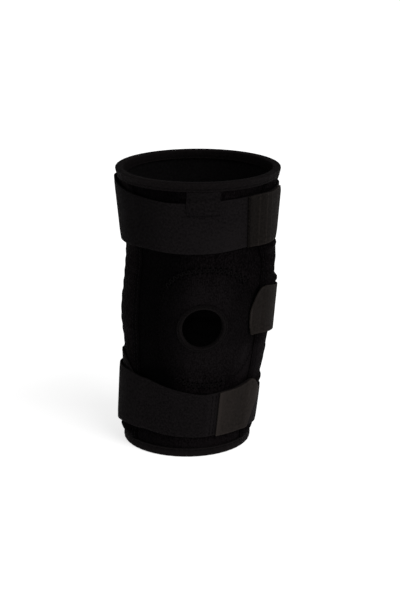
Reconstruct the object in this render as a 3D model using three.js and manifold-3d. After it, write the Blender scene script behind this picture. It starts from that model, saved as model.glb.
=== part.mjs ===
// A hinged knee brace: a padded sleeve with an open patella, bound rims, side pockets that hold stays,
// and straps over the thigh, behind the knee and over the calf, each with a fastening tab.
// Millimetres, +Z up. The brace stands on its lower rim and its front faces -Y.
// Angles are degrees round the leg, 0 at the front and positive towards +X.
import * as THREE from "three";
import { mergeVertices } from "three/addons/utils/BufferGeometryUtils.js";
import Module from "manifold-3d";

const wasm = await Module();
wasm.setup();

// Driving dimensions
const HEIGHT = 259;
const WALL = 3.5;
const GAP = 0.35;
const STRAP_GAP = 0.45;
const BINDING_HEIGHT = 8;
const BINDING_THICKNESS = 1.6;
const BINDING_BEVEL = 0.9;
const STRAP_THICKNESS = 2;
const TAB_THICKNESS = 1.7;

// The outside of the sleeve: sideways shift of the leg's middle, half width, and depth in front and behind.
const SECTIONS = [
  { z: 0, shift: -9.6, width: 57.2, front: 59.5, back: 58.5 },
  { z: 22, shift: -8.4, width: 57.3, front: 58.4, back: 62 },
  { z: 50, shift: -6, width: 57.1, front: 59.2, back: 63 },
  { z: 76, shift: -3.1, width: 60.4, front: 61, back: 60 },
  { z: 98, shift: -1.7, width: 62.6, front: 64.6, back: 55 },
  { z: 125, shift: -0.2, width: 65.2, front: 66.6, back: 52.5 },
  { z: 150, shift: 1, width: 65.1, front: 66.2, back: 54 },
  { z: 178, shift: 3.2, width: 64.7, front: 65, back: 60.5 },
  { z: 205, shift: 0.1, width: 61.6, front: 67, back: 66.5 },
  { z: 235, shift: -0.65, width: 65.95, front: 70.4, back: 71 },
  { z: HEIGHT, shift: 0.9, width: 73.2, front: 72, back: 73 },
];

// Gathers of the sleeve at the bend of the knee: middle, reach to each side, and push outwards.
const GATHERS = [
  { angle: 92, spread: 40, z: 247, rise: 16, push: 2.2 },
  { angle: 100, spread: 26, z: 184, rise: 18, push: 1.8 },
  { angle: 100, spread: 26, z: 168, rise: 9, push: -1.4 },
  { angle: 100, spread: 26, z: 154, rise: 8, push: 2.2 },
  { angle: 110, spread: 36, z: 98, rise: 9, push: -2 },
  { angle: 100, spread: 18, z: 64, rise: 12, push: 1.6 },
  { angle: 110, spread: 36, z: 88, rise: 7, push: 1.2 },
  { angle: 110, spread: 36, z: 80, rise: 6, push: -0.8 },
  { angle: 110, spread: 36, z: 72, rise: 6, push: 0.8 },
  { angle: -110, spread: 36, z: 95, rise: 8, push: -2.4 },
  { angle: -110, spread: 36, z: 106, rise: 8, push: 1 },
  { angle: -110, spread: 36, z: 160, rise: 12, push: -1.6 },
  { angle: 180, spread: 55, z: 108, rise: 9, push: -2.6 },
  { angle: 180, spread: 60, z: 131, rise: 10, push: -3 },
  { angle: 180, spread: 55, z: 152, rise: 9, push: -2.2 },
];

// Side pockets: place, how high the cloth stands at its edge, over the stay and over the hinge.
const POCKET = {
  angle: 75,
  halfAngle: 20,
  cloth: 1.5,
  low: BINDING_HEIGHT + GAP,
  high: HEIGHT - BINDING_HEIGHT - GAP,
  endRamp: 26,
};
const POCKET_LIFT = { edge: 1.9, stay: 4.2, hinge: 5.2 };
const HINGE_HEIGHT = 125;
const HINGE_BULGE = 26;

// A stay from end to end: height, half width and thickness of the plain bar, and its clearance to the sleeve.
const STAY_SEAT = 0.6;
const STAY = [
  { z: 38, half: 7, thick: 1.5 },
  { z: 97, half: 7, thick: 1.5 },
  { z: 106, half: 7, thick: 1.5 },
  { z: 115, half: 11.5, thick: 2 },
  { z: HINGE_HEIGHT, half: 12.5, thick: 2.3 },
  { z: 135, half: 11.5, thick: 2 },
  { z: 144, half: 7, thick: 1.5 },
  { z: 153, half: 7, thick: 1.5 },
  { z: 220, half: 7, thick: 1.5 },
];

// Patella panel and hole, as ovals seen from the front; a fuller oval has a higher power.
const PANEL = { x: 7.1, z: 123, halfWidth: 44, halfHeight: 54.8, turn: 0, power: 2.6, sides: 40 };
const HOLE = { x: 2.7, z: 124.4, halfWidth: 20, halfHeight: 18.6, turn: 30, power: 2, sides: 24 };
const HOLE_BINDING = 3.2;
const HOLE_BINDING_THICKNESS = 1.1;

// Stretches of the front wall that the panel and the hole's binding are cut from.
const PANEL_WALL = { start: -45, end: 60, low: 54, high: 184 };
const HOLE_WALL = { start: -37.5, end: 37.5, low: 97, high: 153 };

// Straps: lower and upper edge round the leg, and how far each edge stands off what lies under it.
const UPPER_STRAP = [
  { angle: -180, low: 195, high: 245, lowLift: 0, highLift: 0 },
  { angle: -125, low: 194, high: 247.5, lowLift: 1, highLift: 0.4 },
  { angle: -90, low: 194, high: 250, lowLift: 2.4, highLift: 1 },
  { angle: -56, low: 194, high: 243.5, lowLift: 1.2, highLift: 0 },
  { angle: -24, low: 193.2, high: 240.2, lowLift: 0, highLift: 0 },
  { angle: 10, low: 193.8, high: 241.8, lowLift: 0, highLift: 0 },
  { angle: 40, low: 195.9, high: 243.1, lowLift: 0, highLift: 0 },
  { angle: 54, low: 195.2, high: 243.2, lowLift: 0, highLift: 0 },
  { angle: 63, low: 195.1, high: 242.6, lowLift: 0, highLift: 0 },
  { angle: 73, low: 194.8, high: 243.2, lowLift: 0, highLift: 0 },
  { angle: 92, low: 194, high: 244, lowLift: 0.4, highLift: 0.5 },
  { angle: 120, low: 193.5, high: 242.5, lowLift: 0.1, highLift: 0.2 },
  { angle: 180, low: 195, high: 245, lowLift: 0, highLift: 0 },
];
const MIDDLE_STRAP = [
  { angle: 42, low: 112.9, high: 157.6, lowLift: 0, highLift: 0 },
  { angle: 52, low: 112.2, high: 157, lowLift: 0, highLift: 0 },
  { angle: 62, low: 111.1, high: 155.4, lowLift: 0, highLift: 0 },
  { angle: 82, low: 107.4, high: 149.8, lowLift: 0, highLift: 0 },
  { angle: 100, low: 103.5, high: 147.5, lowLift: 0, highLift: 0 },
  { angle: 130, low: 99.5, high: 146.5, lowLift: 0, highLift: 0 },
  { angle: 180, low: 96, high: 145, lowLift: 0, highLift: 0 },
  { angle: 252, low: 100, high: 149, lowLift: 0, highLift: 0 },
];
const LOWER_STRAP = [
  { angle: -180, low: 15, high: 65, lowLift: 0, highLift: 0 },
  { angle: -125, low: 17, high: 71, lowLift: 0.8, highLift: 0 },
  { angle: -90, low: 19, high: 74.5, lowLift: 1.6, highLift: 0 },
  { angle: -65, low: 22.6, high: 75, lowLift: 0.8, highLift: 0 },
  { angle: -45, low: 21.7, high: 70.8, lowLift: 0, highLift: 0 },
  { angle: -15, low: 19.6, high: 64, lowLift: 0, highLift: 0 },
  { angle: 8, low: 18.5, high: 60, lowLift: 0, highLift: 0 },
  { angle: 20, low: 18.8, high: 60.5, lowLift: 0, highLift: 0 },
  { angle: 28, low: 19.2, high: 61.6, lowLift: 0, highLift: 0 },
  { angle: 38, low: 19.3, high: 62.3, lowLift: 0, highLift: 0 },
  { angle: 47, low: 19.3, high: 64, lowLift: 0, highLift: 0 },
  { angle: 55, low: 19.5, high: 67.2, lowLift: 0, highLift: 0 },
  { angle: 60, low: 19.7, high: 63.8, lowLift: 0.2, highLift: 0.1 },
  { angle: 68, low: 19, high: 54.5, lowLift: 0.6, highLift: 0.4 },
  { angle: 78, low: 17, high: 53, lowLift: 1, highLift: 0.7 },
  { angle: 92, low: 14.8, high: 52.5, lowLift: 1, highLift: 0.7 },
  { angle: 112, low: 14.5, high: 56, lowLift: 0.4, highLift: 0.2 },
  { angle: 140, low: 15, high: 63, lowLift: 0, highLift: 0 },
  { angle: 180, low: 15, high: 65, lowLift: 0, highLift: 0 },
];

// Where tabs and straps begin and end, and how the tab's corners are cut back from its end.
const UPPER_TAB = { start: 40.4, end: 84, slant: -2.2 };
const MIDDLE_TAB = { start: 44.1, end: 105, slant: 0 };
const LOWER_TAB = { start: 22.8, end: 68, slant: 0 };
const MIDDLE_STRAP_RANGE = { start: 96, end: 250 };
const CUT_CORNERS = [
  { inset: 0, low: 8, high: 7 },
  { inset: 5, low: 0, high: 0 },
];
const ROUND_CORNERS = [
  { inset: 0, low: 12.5, high: 24 },
  { inset: 1, low: 5.5, high: 19.5 },
  { inset: 2.5, low: 0, high: 15 },
  { inset: 5.3, low: 0, high: 8.1 },
  { inset: 8.6, low: 0, high: 3 },
  { inset: 14, low: 0, high: 0 },
];
const POINTED_CORNERS = [
  { inset: 0, low: 31, high: 0 },
  { inset: 2.5, low: 25, high: 0 },
  { inset: 6, low: 18.2, high: 0 },
  { inset: 10.6, low: 4.6, high: 0 },
  { inset: 11.6, low: 0, high: 0 },
];

// Sewn patch under the lower strap at the left: its edges from front to back.
const ANCHOR = [
  { angle: -128, low: 46, high: 86 },
  { angle: -92, low: 46, high: 87 },
  { angle: -78, low: 48, high: 87.5 },
  { angle: -68, low: 52, high: 81.5 },
  { angle: -58, low: 58, high: 71.5 },
];
const ANCHOR_THICKNESS = 1.6;

// Blank patch in front, from the strap up to the top binding.
const LABEL = { angle: 3, halfAngle: 12.2, low: 229, step: 4, thickness: 0.9 };

// Grid shared by every layer, so that the facets of neighbours stay parallel.
const FRONT_STEP = 7.5;
const SIDE_STEP = 5;
const BACK_STEP = 12.5;
const SIDE_START = 45;
const SIDE_END = 105;
const ANGLES = [
  ...stepped(-SIDE_START, SIDE_START, FRONT_STEP),
  ...stepped(SIDE_START, SIDE_END, SIDE_STEP),
  ...stepped(SIDE_END, 360 - SIDE_END, BACK_STEP),
  ...stepped(360 - SIDE_END, 360 - SIDE_START, SIDE_STEP),
];
const SLEEVE_LOW = BINDING_THICKNESS + GAP;
const SLEEVE_HIGH = HEIGHT - BINDING_THICKNESS - GAP;
const HEIGHTS = [
  SLEEVE_LOW,
  POCKET.low,
  ...[22, 38, 54, 67, 76, 87, 97, 106, 115, 125, 135, 144, 153, 166, 184, 202, 218, 231, 242],
  POCKET.high,
  SLEEVE_HIGH,
];

function stepped(from, to, step) {
  const count = Math.round((to - from) / step);
  return Array.from({ length: count }, (_, i) => from + i * step);
}

function radians(degrees) {
  return THREE.MathUtils.degToRad(degrees);
}

// Angle brought into the turn that is centred on another angle.
function angleNear(angle, centre) {
  return angle - 360 * Math.round((angle - centre) / 360);
}

// Value of a table's column, on a smooth curve through its rows.
function read(rows, key, column, at) {
  const last = rows.length - 1;
  const place = THREE.MathUtils.clamp(at, rows[0][key], rows[last][key]);
  let i = 0;
  while (i < last - 1 && place > rows[i + 1][key]) i += 1;
  const slope = (k) => {
    const before = rows[Math.max(k - 1, 0)];
    const after = rows[Math.min(k + 1, last)];
    return (after[column] - before[column]) / (after[key] - before[key]);
  };
  const span = rows[i + 1][key] - rows[i][key];
  const t = (place - rows[i][key]) / span;
  const rise = rows[i + 1][column] - rows[i][column];
  const bend = (1 - t) * (slope(i) * span - rise) - t * (slope(i + 1) * span - rise);
  return rows[i][column] + rise * t + t * (1 - t) * bend;
}

// Round hump of height 1 at 0 that ends at -1 and 1.
function hump(u) {
  return Math.abs(u) < 1 ? (1 + Math.cos(Math.PI * u)) / 2 : 0;
}

function gatherAt(angle, z) {
  return GATHERS.reduce((sum, fold) => {
    const across = hump((angleNear(angle, fold.angle) - fold.angle) / fold.spread);
    return sum + fold.push * across * hump((z - fold.z) / fold.rise);
  }, 0);
}

// Point at a distance outside the leg's smooth form.
function formPoint(angle, z, offset) {
  const sine = Math.sin(radians(angle));
  const cosine = Math.cos(radians(angle));
  const depth = read(SECTIONS, "z", cosine > 0 ? "front" : "back", z);
  const x = read(SECTIONS, "z", "shift", z) + (read(SECTIONS, "z", "width", z) + offset) * sine;
  return new THREE.Vector3(x, -(depth + offset) * cosine, z);
}

// Point at a distance outside the gathered sleeve.
function sleevePoint(angle, z, offset) {
  return formPoint(angle, z, offset + gatherAt(angle, z));
}

// Distance of a point from the frame's Z axis, measured towards an angle.
function reachOf(point, angle) {
  return point.x * Math.sin(radians(angle)) - point.y * Math.cos(radians(angle));
}

// Place across a pocket: 0 at its middle, 1 at its edges.
function pocketAcross(angle) {
  const side = angleNear(angle, 0) < 0 ? -POCKET.angle : POCKET.angle;
  return Math.abs(angleNear(angle, side) - side) / POCKET.halfAngle;
}

// Height of a pocket's outside over the sleeve.
function pocketLift(angle, z) {
  const across = Math.min(pocketAcross(angle), 1);
  const fromEnd = Math.min(z - POCKET.low, POCKET.high - z) / POCKET.endRamp;
  const filled = THREE.MathUtils.smoothstep(fromEnd, 0, 1) * (1 - across ** 4);
  const bulge = (POCKET_LIFT.hinge - POCKET_LIFT.stay) * hump((z - HINGE_HEIGHT) / HINGE_BULGE);
  return POCKET_LIFT.edge + (POCKET_LIFT.stay - POCKET_LIFT.edge + bulge) * filled;
}

// Height over the sleeve that a strap has to clear: the pocket, and a slope beside its edge.
function underStrap(angle, z) {
  const besidePocket = 1.5;
  const slope = (besidePocket - pocketAcross(angle)) / (besidePocket - 1);
  return pocketLift(angle, z) * THREE.MathUtils.smoothstep(slope, 0, 1);
}

// Edges of a taut band at an angle: straight across its width, and clear of all that lies under it.
function tautEdges(rows, angle, under) {
  const samples = 12;
  const low = read(rows, "angle", "low", angle);
  const high = read(rows, "angle", "high", angle);
  const reach = (z) => reachOf(sleevePoint(angle, z, under(angle, z)), angle);
  let raise = 0;
  for (let i = 0; i <= samples; i += 1) {
    const t = i / samples;
    const straight = THREE.MathUtils.lerp(reach(low), reach(high), t);
    raise = Math.max(raise, reach(THREE.MathUtils.lerp(low, high, t)) - straight);
  }
  const seat = (z, lift) => under(angle, z) + raise + STRAP_GAP + lift;
  return {
    low,
    high,
    lowSeat: seat(low, read(rows, "angle", "lowLift", angle)),
    highSeat: seat(high, read(rows, "angle", "highLift", angle)),
  };
}

// Point on a taut band, at a fraction of its width from the lower edge and a distance over its seat.
function bandPoint(rows, angle, fraction, over, under) {
  const edges = tautEdges(rows, angle, under);
  const low = sleevePoint(angle, edges.low, edges.lowSeat + over);
  const high = sleevePoint(angle, edges.high, edges.highSeat + over);
  return low.lerp(high, fraction);
}

// Solid of vertices and triangles.
function meshGeometry(positions, triangles) {
  const geometry = new THREE.BufferGeometry();
  geometry.setAttribute("position", new THREE.Float32BufferAttribute(positions, 3));
  geometry.setIndex(triangles);
  return geometry;
}

// Slab with an outer and an inner face on a grid of places; looped closes it on itself.
function slab(alongs, acrosses, looped, place) {
  const positions = [];
  for (const isOuter of [true, false]) {
    for (const along of alongs) {
      for (const across of acrosses) positions.push(...place(along, across, isOuter));
    }
  }
  const columns = alongs.length;
  const rows = acrosses.length;
  const steps = looped ? columns : columns - 1;
  const outer = (u, v) => (u % columns) * rows + v;
  const inner = (u, v) => columns * rows + outer(u, v);
  const triangles = [];
  const quad = (a, b, c, d) => triangles.push(a, b, c, a, c, d);
  for (let u = 0; u < steps; u += 1) {
    for (let v = 0; v < rows - 1; v += 1) {
      quad(outer(u, v), outer(u + 1, v), outer(u + 1, v + 1), outer(u, v + 1));
      quad(inner(u, v), inner(u, v + 1), inner(u + 1, v + 1), inner(u + 1, v));
    }
    const top = rows - 1;
    quad(outer(u, 0), inner(u, 0), inner(u + 1, 0), outer(u + 1, 0));
    quad(outer(u, top), outer(u + 1, top), inner(u + 1, top), inner(u, top));
  }
  const end = columns - 1;
  for (let v = 0; v < rows - 1 && !looped; v += 1) {
    quad(outer(0, v), outer(0, v + 1), inner(0, v + 1), inner(0, v));
    quad(outer(end, v), inner(end, v), inner(end, v + 1), outer(end, v + 1));
  }
  return meshGeometry(positions, triangles);
}

// Ring round the leg with a closed section of offsets and heights, listed up its outside first.
function ring(section) {
  const positions = [];
  for (const angle of ANGLES) {
    for (const [offset, z] of section) positions.push(...sleevePoint(angle, z, offset));
  }
  const sides = section.length;
  const at = (u, i) => (u % ANGLES.length) * sides + (i % sides);
  const triangles = [];
  for (let u = 0; u < ANGLES.length; u += 1) {
    for (let i = 0; i < sides; i += 1) {
      triangles.push(at(u, i), at(u + 1, i), at(u + 1, i + 1));
      triangles.push(at(u, i), at(u + 1, i + 1), at(u, i + 1));
    }
  }
  return meshGeometry(positions, triangles);
}

function toSolid(geometry) {
  const bare = geometry.clone();
  bare.deleteAttribute("normal");
  bare.deleteAttribute("uv");
  const merged = mergeVertices(bare);
  const vertProperties = merged.getAttribute("position").array;
  const triVerts = new Uint32Array(merged.getIndex().array);
  return new wasm.Manifold(new wasm.Mesh({ numProp: 3, vertProperties, triVerts }));
}

function toGeometry(solid) {
  const mesh = solid.getMesh();
  return meshGeometry(Array.from(mesh.vertProperties), Array.from(mesh.triVerts));
}

// Angles of the shared grid between two angles, with both ends.
function anglesBetween(start, end) {
  const middle = (start + end) / 2;
  const inside = ANGLES.map((angle) => angleNear(angle, middle));
  const kept = inside.filter((angle) => angle > start + 1 && angle < end - 1);
  return [start, ...kept.sort((a, b) => a - b), end];
}

// Solid stretch of the sleeve's wall, from one offset out to another.
function wallPatch(stretch, innerOffset, outerOffset) {
  const heights = HEIGHTS.filter((z) => z >= stretch.low && z <= stretch.high);
  const angles = anglesBetween(stretch.start, stretch.end);
  const wall = slab(angles, heights, false, (angle, z, isOuter) =>
    sleevePoint(angle, z, isOuter ? outerOffset : innerOffset),
  );
  return toSolid(wall);
}

// Oval bar from front to back, for cutting the front wall; grow widens it all round.
function ovalBar(oval, grow) {
  const frontReach = 120;
  const middle = new THREE.Vector2(oval.x, oval.z);
  const corners = Array.from({ length: oval.sides }, (_, i) => {
    const turn = (2 * Math.PI * i) / oval.sides;
    const cosine = Math.cos(turn);
    const sine = Math.sin(turn);
    const reach = (Math.abs(cosine) ** oval.power + Math.abs(sine) ** oval.power) ** (-1 / oval.power);
    const across = (oval.halfWidth + grow) * reach * cosine;
    const up = (oval.halfHeight + grow) * reach * sine;
    return new THREE.Vector2(across, up).rotateAround(new THREE.Vector2(), radians(oval.turn)).add(middle);
  });
  const outline = new THREE.Shape(corners);
  const bar = new THREE.ExtrudeGeometry(outline, { depth: frontReach, bevelEnabled: false });
  return toSolid(bar.rotateX(Math.PI / 2));
}

function sleeveGeometry() {
  const wall = slab(ANGLES, HEIGHTS, true, (angle, z, isOuter) =>
    sleevePoint(angle, z, isOuter ? 0 : -WALL),
  );
  return toGeometry(toSolid(wall).subtract(ovalBar(PANEL, GAP)));
}

function panelGeometry() {
  const wall = wallPatch(PANEL_WALL, -WALL, 0);
  return toGeometry(wall.intersect(ovalBar(PANEL, 0)).subtract(ovalBar(HOLE, 0)));
}

function holeBindingGeometry() {
  const hole = ovalBar(HOLE, -GAP);
  const outside = GAP + HOLE_BINDING_THICKNESS;
  const around = wallPatch(HOLE_WALL, -WALL - outside, outside);
  const groove = wallPatch(HOLE_WALL, -WALL - GAP, GAP).subtract(hole);
  const band = around.intersect(ovalBar(HOLE, HOLE_BINDING));
  const bore = ovalBar(HOLE, -outside);
  return toGeometry(band.subtract(bore).subtract(groove));
}

// Section of a rim binding, folded over the rim: offsets and distances from the rim's end.
function bindingSection() {
  const outside = GAP + BINDING_THICKNESS;
  const inside = -WALL - outside;
  return [
    [outside, BINDING_HEIGHT],
    [outside, BINDING_BEVEL],
    [outside - BINDING_BEVEL, 0],
    [inside + BINDING_BEVEL, 0],
    [inside, BINDING_BEVEL],
    [inside, BINDING_HEIGHT],
    [-WALL - GAP, BINDING_HEIGHT],
    [-WALL - GAP, BINDING_THICKNESS],
    [GAP, BINDING_THICKNESS],
    [GAP, BINDING_HEIGHT],
  ];
}

function topBindingGeometry() {
  return ring(bindingSection().map(([offset, depth]) => [offset, HEIGHT - depth]));
}

function bottomBindingGeometry() {
  return ring(bindingSection().reverse());
}

function pocketGeometry(side) {
  const middle = side * POCKET.angle;
  const angles = anglesBetween(middle - POCKET.halfAngle, middle + POCKET.halfAngle);
  const heights = HEIGHTS.filter((z) => z >= POCKET.low && z <= POCKET.high);
  return slab(angles, heights, false, (angle, z, isOuter) => {
    const lift = pocketLift(angle, z);
    return sleevePoint(angle, z, isOuter ? lift : Math.max(lift - POCKET.cloth, GAP));
  });
}

function stayGeometry(side) {
  const across = [-1, 0, 1];
  const ends = [STAY[0].z, STAY[STAY.length - 1].z];
  const inside = HEIGHTS.filter((z) => z > ends[0] + 1 && z < ends[1] - 1);
  return slab(across, [ends[0], ...inside, ends[1]], false, (place, z, isOuter) => {
    const radius = read(SECTIONS, "z", "width", z);
    const halfAngle = THREE.MathUtils.radToDeg(read(STAY, "z", "half", z) / radius);
    const offset = STAY_SEAT + (isOuter ? read(STAY, "z", "thick", z) : 0);
    return formPoint(side * POCKET.angle + place * halfAngle, z, offset);
  });
}

// Height over the sleeve under the lower strap: the pockets, and the sewn patch at the left.
function underLowerStrap(angle, z) {
  const rear = ANCHOR[0].angle - FRONT_STEP;
  const fore = ANCHOR[ANCHOR.length - 1].angle + FRONT_STEP;
  const onAnchor = angle >= rear && angle <= fore;
  return underStrap(angle, z) + (onAnchor ? ANCHOR_THICKNESS + GAP : 0);
}

// Height over the sleeve under the middle strap: the pockets, and the tab where the strap laps it.
function underMiddleStrap(angle, z) {
  const lapped = angle < MIDDLE_TAB.end + 1;
  return underStrap(angle, z) + (lapped ? TAB_THICKNESS + GAP : 0);
}

// Loop of a strap right round the leg.
function loopGeometry(rows, under) {
  return slab(ANGLES, [0, 1], true, (angle, fraction, isOuter) =>
    bandPoint(rows, angleNear(angle, 0), fraction, isOuter ? STRAP_THICKNESS : 0, under),
  );
}

function middleStrapGeometry() {
  const angles = anglesBetween(MIDDLE_STRAP_RANGE.start, MIDDLE_STRAP_RANGE.end);
  return slab(angles, [0, 1], false, (angle, fraction, isOuter) =>
    bandPoint(MIDDLE_STRAP, angle, fraction, isOuter ? STRAP_THICKNESS : 0, underMiddleStrap),
  );
}

// Tab on a band: its corners are cut back at the free end, and its other end may be slanted.
function tabGeometry(rows, tab, corners, freeAtStart, lift, under) {
  const free = freeAtStart ? tab.start : tab.end;
  const inwards = freeAtStart ? 1 : -1;
  const cornerAngles = corners.map((row) => free + inwards * row.inset);
  const lastCut = corners[corners.length - 1].inset;
  const plain = anglesBetween(tab.start, tab.end).filter((angle) => Math.abs(angle - free) > lastCut + 1);
  const angles = [...plain, ...cornerAngles].sort((a, b) => a - b);
  const length = tab.end - tab.start;
  return slab(angles, [0, 0.5, 1], false, (angle, half, isOuter) => {
    const fromFree = Math.abs(angle - free);
    const width = read(rows, "angle", "high", angle) - read(rows, "angle", "low", angle);
    const lowCut = read(corners, "inset", "low", fromFree);
    const highCut = read(corners, "inset", "high", fromFree);
    const fraction = THREE.MathUtils.lerp(lowCut / width, 1 - highCut / width, half);
    const slant = tab.slant * half * (fromFree / length);
    return bandPoint(rows, angle + slant, fraction, lift + (isOuter ? TAB_THICKNESS : 0), under);
  });
}

function anchorGeometry() {
  const angles = anglesBetween(ANCHOR[0].angle, ANCHOR[ANCHOR.length - 1].angle);
  const fractions = [0, 0.25, 0.5, 0.75, 1];
  return slab(angles, fractions, false, (angle, fraction, isOuter) => {
    const low = read(ANCHOR, "angle", "low", angle);
    const z = THREE.MathUtils.lerp(low, read(ANCHOR, "angle", "high", angle), fraction);
    const seat = underStrap(angle, z) + GAP;
    return sleevePoint(angle, z, isOuter ? seat + ANCHOR_THICKNESS : seat);
  });
}

// Patch that lies on the upper strap and steps down to the sleeve under the top binding.
function labelGeometry() {
  const angles = anglesBetween(LABEL.angle - LABEL.halfAngle, LABEL.angle + LABEL.halfAngle);
  const strapTop = (angle) => read(UPPER_STRAP, "angle", "high", angle);
  const strapLow = (angle) => read(UPPER_STRAP, "angle", "low", angle);
  const rows = ["low", "strapEdge", "step", "top"];
  return slab(angles, rows, false, (angle, row, isOuter) => {
    const over = isOuter ? LABEL.thickness : 0;
    const top = strapTop(angle);
    if (row === "low" || row === "strapEdge") {
      const z = row === "low" ? LABEL.low : top + GAP;
      const fraction = (z - strapLow(angle)) / (top - strapLow(angle));
      return bandPoint(UPPER_STRAP, angle, fraction, STRAP_THICKNESS + GAP + over, underStrap);
    }
    const z = row === "step" ? top + LABEL.step : HEIGHT - BINDING_HEIGHT - GAP;
    return sleevePoint(angle, z, GAP + over);
  });
}

// Finishes, near black throughout: the straps and tabs are a little paler than the sleeve.
const FINISHES = {
  sleeve: { color: 0x0c0c0e, roughness: 0.95, metalness: 0 },
  panel: { color: 0x131316, roughness: 0.9, metalness: 0 },
  binding: { color: 0x151314, roughness: 0.85, metalness: 0 },
  strap: { color: 0x131215, roughness: 0.9, metalness: 0 },
  tab: { color: 0x1f1e21, roughness: 0.8, metalness: 0 },
  stay: { color: 0x8f9194, roughness: 0.4, metalness: 1 },
};

function piece(name, geometry, finish) {
  geometry.computeVertexNormals();
  const mesh = new THREE.Mesh(geometry, new THREE.MeshStandardMaterial(FINISHES[finish]));
  mesh.name = name;
  return mesh;
}

const onStrap = STRAP_THICKNESS + GAP;
const brace = new THREE.Group();
brace.add(
  piece("sleeve", sleeveGeometry(), "sleeve"),
  piece("patella_panel", panelGeometry(), "panel"),
  piece("patella_binding", holeBindingGeometry(), "binding"),
  piece("top_binding", topBindingGeometry(), "binding"),
  piece("bottom_binding", bottomBindingGeometry(), "binding"),
  piece("upper_strap", loopGeometry(UPPER_STRAP, underStrap), "strap"),
  piece("lower_strap", loopGeometry(LOWER_STRAP, underLowerStrap), "strap"),
  piece("middle_strap", middleStrapGeometry(), "strap"),
  piece("lower_strap_anchor", anchorGeometry(), "strap"),
  piece("label_patch", labelGeometry(), "strap"),
  piece(
    "upper_tab",
    tabGeometry(UPPER_STRAP, UPPER_TAB, CUT_CORNERS, false, onStrap, underStrap),
    "tab",
  ),
  piece("middle_tab", tabGeometry(MIDDLE_STRAP, MIDDLE_TAB, ROUND_CORNERS, true, 0, underStrap), "tab"),
  piece(
    "lower_tab",
    tabGeometry(LOWER_STRAP, LOWER_TAB, POINTED_CORNERS, false, onStrap, underLowerStrap),
    "tab",
  ),
);
for (const [sideName, side] of [["left", -1], ["right", 1]]) {
  brace.add(piece(`hinge_pocket_${sideName}`, pocketGeometry(side), "sleeve"));
  brace.add(piece(`hinge_stay_${sideName}`, stayGeometry(side), "stay"));
}

export default brace;
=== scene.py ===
"""Looks of a padded knee brace: sleeve, patella panel, bindings, side pockets, straps, tabs and stitching.

Metres, +Z up. The brace stands on its lower rim and its front faces -Y.
Angles are degrees round the leg, 0 at the front and positive towards +X.
A cloth keeps two marks for its finish: "edge", how pale it is from wear and painted highlights, and "seam",
how dark it lies, mostly painted shade in seams and grooves and away from the light.
"""
import logging
import math
from collections.abc import Callable
from dataclasses import dataclass
from enum import Enum, IntEnum

import bmesh
import bpy
import numpy as np
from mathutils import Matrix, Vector


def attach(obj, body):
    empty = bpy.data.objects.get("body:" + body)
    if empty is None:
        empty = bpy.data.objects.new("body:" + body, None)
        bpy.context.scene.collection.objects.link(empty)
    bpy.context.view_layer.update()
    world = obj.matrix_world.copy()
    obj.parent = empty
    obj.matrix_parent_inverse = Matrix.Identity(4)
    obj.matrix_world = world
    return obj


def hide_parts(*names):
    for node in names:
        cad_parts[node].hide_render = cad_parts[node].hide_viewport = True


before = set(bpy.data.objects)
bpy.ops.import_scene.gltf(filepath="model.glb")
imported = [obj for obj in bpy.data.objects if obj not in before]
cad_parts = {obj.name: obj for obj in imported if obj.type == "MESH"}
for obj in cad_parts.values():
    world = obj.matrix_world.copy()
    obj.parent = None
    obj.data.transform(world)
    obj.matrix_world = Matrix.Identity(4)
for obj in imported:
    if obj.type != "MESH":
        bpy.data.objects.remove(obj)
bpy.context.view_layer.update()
BODY = "root"
# edge: wear and painted highlights; seam: dark seams and painted shade.
MARKS = ("edge", "seam")
LOG = logging.getLogger("knee_brace")

Places = tuple[float, ...]
Rows = tuple[Places, ...]
Colour = tuple[float, float, float]
Point = tuple[float, float, float]
Array = np.ndarray
Pair = tuple[float, float]
Piece = bpy.types.Object
Material = bpy.types.Material
Node = bpy.types.Node
NodeTree = bpy.types.NodeTree
Socket = bpy.types.NodeSocket
Lift = Callable[[Array, Array], Array]
Stitches = tuple[Array, Array, Array]
Kinds = dict[str, str]
Sockets = bpy.types.NodeOutputs


class Slot(Enum):
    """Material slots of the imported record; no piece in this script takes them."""

    SLEEVE = "sleeve_cloth"
    PANEL = "panel_cloth"
    BINDING = "binding_tape"
    STRAP = "strap_cloth"
    TAB = "tab_cloth"


class Side(Enum):
    """Sides of the brace, as seen from the front."""

    LEFT = -1
    RIGHT = 1


class Rim(Enum):
    """The two ends of the sleeve."""

    TOP = "top"
    BOTTOM = "bottom"


class ThreadTone(Enum):
    """Tones of the sewing."""

    PLAIN = "sewing_thread"
    DARK = "dark_thread"
    # Near-black finish for the needle holes: painted shade inside them.
    HOLE_SHADOW = "needle_hole_shadow"


class Grain(Enum):
    """What the surface of a cloth is made of."""

    PILE = "pile"
    WEAVE = "weave"
    RIB = "rib"


class Section(IntEnum):
    """Columns of the leg's sections, after the height."""

    SHIFT = 1
    HALF_WIDTH = 2
    FRONT = 3
    BACK = 4


class Run(IntEnum):
    """Columns of the run of a strap or patch, after the angle."""

    LOW = 1
    HIGH = 2
    LOW_OFF = 3
    HIGH_OFF = 4


class Corner(IntEnum):
    """Columns of a tab's corners, after the degrees from its free end."""

    LOW = 1
    HIGH = 2


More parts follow.
